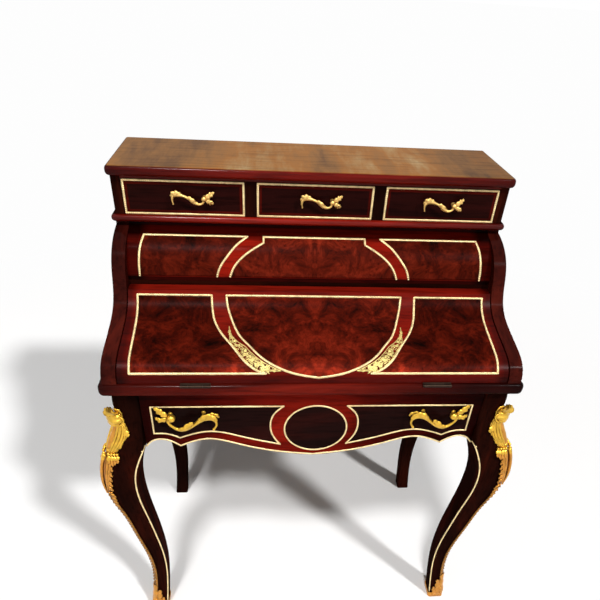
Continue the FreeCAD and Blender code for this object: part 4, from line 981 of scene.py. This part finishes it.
for row in range(VINE_ROWS):
    along = 0.02 + 0.9 * row / (VINE_ROWS - 1)
    half = 2.6 - 0.8 * along
    angles = [math.radians(50 * corner) for corner in range(8)]
    loop = [(half * math.cos(angle), half * math.sin(angle)) for angle in angles]
    for across in (-0.62, 0.0, 0.62):
        here = round_point(*in_crescent(along, across + 0.12 * (-1) ** row))
        vine_bar(loop, here, (0.6, 0.62, 0.62), 9, sides=5)
vine_brass = gilding("pierced_vine_brass", (0.9, 0.73, 0.26), (0.3, 0.19, 0.03), 0.34, 0.5, 0.003)
join(vines, mirror_shape(vines))
put("flap_vine_crescents", vines, vine_brass, "flap", ["flap_filigree"])

leather, tree, shader, place = new_finish("writing_hide")
wear = noise(tree, place, 9.0)["Fac"]
tree.links.new(tone_ramp(tree, [(0.3, 0.012, 0.035, 0.018), (0.7, 0.03, 0.075, 0.04)], wear),
               shader["Base Color"])
grain = add_node(tree, "TexVoronoi", {"Scale": 700.0}, {"Vector": place}).outputs["Distance"]
crease = add_node(tree, "Bump", {"Strength": 0.35, "Distance": 0.0003}, {"Height": grain})
tree.links.new(crease.outputs["Normal"], shader["Normal"])
shader["Roughness"].default_value = 0.5
give(leather, "flap_leather")


# --- The upper case: sides, curved panel and pigeonholes --------------
# Shaped mahogany sides carry a convex panel, veneered like the flap, above the dark rail that the
# flap closes on. Plain thin boards make the pigeonholes behind it.

give(side_timber, "left_side_panel", "right_side_panel")
panel_burr = burr_veneer("panel_burr", (0.01, 0.002, 0.0012), (0.08, 0.007, 0.003), (0.25, 0.022, 0.008),
                         tones_and_painted_light=[("|X|", 0.17, 0.22, 0.6)])
BRIGHT_SHADES = [(0.3, 0.1, 0.004, 0.0015), (0.5, 0.23, 0.008, 0.003), (0.75, 0.44, 0.016, 0.005)]
# Darker at both ends and nearly black at the top; nearly black at the foot too, painted shade where the
# panel meets the ledge.
panel_red = polished_timber("panel_red_mahogany", BRIGHT_SHADES,
                            tones_and_painted_light=[("|X|", 0.332, 0.352, 0.2), ("Z", 0.958, 0.965, 0.12),
                                   ("Z", 0.8975, 0.894, 0.1)])
give(panel_red, "upper_panel")
# The rail under the panel takes the near-black leg timber: painted shade for the ledge.
painted_shade_rail = polished_timber("painted_shade_rail_mahogany", LEG_SHADES, figure=8.0)
give(painted_shade_rail, "flap_stop_rail")
inner_timber = polished_timber("inner_timber", PLAIN_SHADES, (0.12, 1.0, 1.0), gloss=0.45)
give(inner_timber, "left_partition", "right_partition", "pigeonhole_ceiling")
BACK_SHADES = [(0.3, 0.035, 0.012, 0.006), (0.55, 0.07, 0.022, 0.011), (0.8, 0.11, 0.036, 0.018)]
back_timber = polished_timber("stained_back_board", BACK_SHADES, (0.06, 1.0, 1.0), 9.0, 0.4)
give(back_timber, "back_panel")

on_panel = laid_on(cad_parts["upper_panel"])
PANEL_TOP, PANEL_STEP, PANEL_FOOT = 0.911, 0.873, 0.586
INNER_TOP, INNER_FOOT, OUTER_TOP, OUTER_FOOT, END_TOP, END_FOOT = 104.5, 172, 137, 198, 342.5, 351
panel_side = smooth_run(shares([(OUTER_TOP, PANEL_TOP), (160, 0.851), (179, 0.76), (193, 0.663),
                                (OUTER_FOOT, PANEL_FOOT)]))
panel_centre = smooth_run(shares([(INNER_TOP, PANEL_STEP), (128, 0.822), (148, 0.76), (165, 0.668),
                                  (INNER_FOOT, PANEL_FOOT)]))
panel_end = smooth_run(shares([(END_TOP, PANEL_TOP), (347, 0.86), (350.5, 0.76), (END_FOOT, PANEL_FOOT)]))
outer_top = shares([(OUTER_TOP, PANEL_TOP), (END_TOP, PANEL_TOP)])
inner_top = shares([(-INNER_TOP, PANEL_TOP), (INNER_TOP, PANEL_TOP)])
inner_step = shares([(INNER_TOP, PANEL_TOP), (INNER_TOP, PANEL_STEP)])
runs = both_sides([panel_side, panel_centre, panel_end, outer_top, inner_step]) + [inner_top]
brass_borders("panel_brass_borders", evened(runs, on_panel), on_panel, "carcass", "upper_panel_stringing")

outer_foot = shares([(OUTER_FOOT, PANEL_FOOT), (END_FOOT, PANEL_FOOT)])
inner_foot = shares([(-INNER_FOOT, PANEL_FOOT), (INNER_FOOT, PANEL_FOOT)])
panel_fields = bmesh.new()
veneer_leaf(panel_fields, panel_side[::-1], panel_end[::-1], outer_foot, outer_top, on_panel, 36, 24)
join(panel_fields, mirror_shape(panel_fields))
stepped = panel_centre[::-1] + inner_step[:1]
veneer_leaf(panel_fields, to_side(-1, stepped), stepped, inner_foot, inner_top, on_panel, 60, 30)
put("panel_veneer_fields", panel_fields, panel_burr, "carcass")


# --- The drawer case and its three drawers ----------------------------
# Mahogany uprights and dividers under a rounded top board. Each drawer has an ebonised front in a
# milled brass frame, a cast scroll handle and a plain box behind.

give(leg_timber, "left_case_side", "right_case_side", "left_case_divider", "right_case_divider")
give(rail_timber, "case_rail")
# Painted highlight: the waist board is a brighter red than the other rails, brightest in the middle and
# darker towards both ends.
highlit_waist_timber = polished_timber("highlit_waist_mahogany", BRIGHT_SHADES, (0.08, 1.0, 1.0), 6.0, shine=0.3,
                               tones_and_painted_light=[("|X|", 0.16, 0.4, 0.3)])
give(highlit_waist_timber, "waist_board")
# The red edge ends at the first height; the painted reflection on the upper face begins at the second.
RED_EDGE_END, REFLECTION_FACE_START = 1.0925, 1.0938


def painted_top_reflection(tree, place, colour, pore_line):
    """Painted reflection on the upper face: pale bands in place of the room mirrored in the polish, darker
    towards the right end. The rounded edge below it keeps its red.
    """
    bands = add_node(tree, "Mapping", {"Scale": (1.0, 0.22, 1.0)}, {"Vector": place}).outputs["Vector"]
    reflected = tone_ramp(tree, [(0.36, 0.17, 0.078, 0.028), (0.44, 0.28, 0.125, 0.035),
                             (0.5, 0.35, 0.14, 0.03), (0.56, 0.38, 0.2, 0.07), (0.64, 0.5, 0.36, 0.18)],
                      noise(tree, bands, 7.0, 6.0, 0.62)["Fac"])
    reflected = deepen(tree, stained(tree, reflected, pore_line, 0.35), place, "X", 0.22, 0.4, 0.6)
    height = add_node(tree, "SeparateXYZ", wires={0: place}).outputs["Z"]
    upper_face = ranged(tree, height, RED_EDGE_END, REFLECTION_FACE_START)
    return add_node(tree, "Mix", wires={"Factor": upper_face, "A": colour, "B": reflected},
                    data_type="RGBA").outputs["Result"]


# The edge is a brighter red than the rails, brightest in the middle and darker towards both ends: painted
# highlight.
top_timber = polished_timber("top_mahogany", RED_SHADES, (0.08, 1.0, 1.0), 6.0, shine=0.16,
                             tones_and_painted_light=[("|X|", 0.16, 0.4, 0.3)], painted_reflection=painted_top_reflection)
give(top_timber, "top_board")
CROSSBAND_SHADES = [(0.3, 0.02, 0.002, 0.001), (0.55, 0.075, 0.004, 0.002), (0.8, 0.18, 0.009, 0.004)]
crossband = polished_timber("crossband_mahogany", CROSSBAND_SHADES)
DARK_SHADES = [(0.3, 0.008, 0.002, 0.0015), (0.55, 0.02, 0.003, 0.0024), (0.8, 0.06, 0.005, 0.004)]
front_veneer = polished_timber("small_drawer_veneer", DARK_SHADES)
pale_gilt = gilding("pale_gilt_bronze", (0.92, 0.58, 0.18), (0.22, 0.08, 0.015), 0.3, 0.8)
CROSSBAND = 8.0
on_case = flat_front(box_in_mm("middle_drawer_front")[0].y)
CASE_SCROLL = {
    "stem": [(-36, -8, 12, 1.1), (-37.3, -1, 12, 1.9, 1.8), (-36, 6, 12, 3.2, 2.8),
             (-30, 10.5, 12, 4.8, 3.6), (-21, 9.5, 12, 3.8, 3.2), (-12, 6.5, 12, 2.4),
             (-4, 2.5, 12, 3.2, 2.8), (3, -3.5, 12, 3.6, 3.0), (12, -7.5, 12, 2.8, 2.4),
             (20, -6, 12, 2.2), (25, 1, 12, 2.6, 2.4)],
    "leaves": [([(-18, 9, 12, 3), (-26, 13, 14, 6), (-34, 12, 14, 6), (-40, 5, 12, 1)], 4),
               ([(-10, 6, 13, 2), (-3, 4, 14.5, 4.5), (5, -3, 14, 4), (12, -7, 12, 1)], 3),
               ([(26, 4, 12, 4), (33, 9, 12, 6), (39, 13, 10, 4), (44, 16, 9, 0.6)], 3),
               ([(26, 1, 12, 3.5), (33, -2, 12, 5.5), (38, -5, 10, 4), (42, -7, 9, 0.6)], 3)],
    "knob": (24, 3.5, 13, 5.2), "tip": (-36, -8.5, 12, 1.5), "posts": [(25, 3), (-30, 10)]}


def sides_of(low, high, inset):
    """The left, right, foot and top side of an upright rectangle that lies inside two corners."""
    x0, x1, z0, z1 = low.x + inset, high.x - inset, low.z + inset, high.z - inset
    return [(x0, z0), (x0, z1)], [(x1, z0), (x1, z1)], [(x0, z0), (x1, z0)], [(x0, z1), (x1, z1)]


for name, shift in (("left_drawer", 15.0), ("middle_drawer", 9.0), ("right_drawer", 0.0)):
    give(crossband, name + "_front")
    give(box_timber, name + "_box")
    low, high = box_in_mm(name + "_front")
    left, right, foot, top = sides_of(low, high, BORDER_WIDTH / 2)
    brass_borders(name + "_milled_frame", [foot, right, top[::-1], left[::-1]], on_case, name,
                  name + "_beading")
    panel = bmesh.new()
    veneer_leaf(panel, *sides_of(low, high, BORDER_WIDTH / 2 + CROSSBAND), on_case, 24, 8)
    put(name + "_veneer_panel", panel, front_veneer, name, smooth=False)
    handle = bmesh.new()
    across, up = (low.x + high.x) / 2 + shift, (low.z + high.z) / 2
    scroll_handle(handle, lambda u, w, lift: on_case(across + u, up + w, lift), **CASE_SCROLL)
    put(name.replace("_drawer", "_scroll_handle"), handle, pale_gilt, name,
        [name + "_handle"])

size = {"cad": [list(corner) for corner in cad_box], "visual": [list(corner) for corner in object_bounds()]}
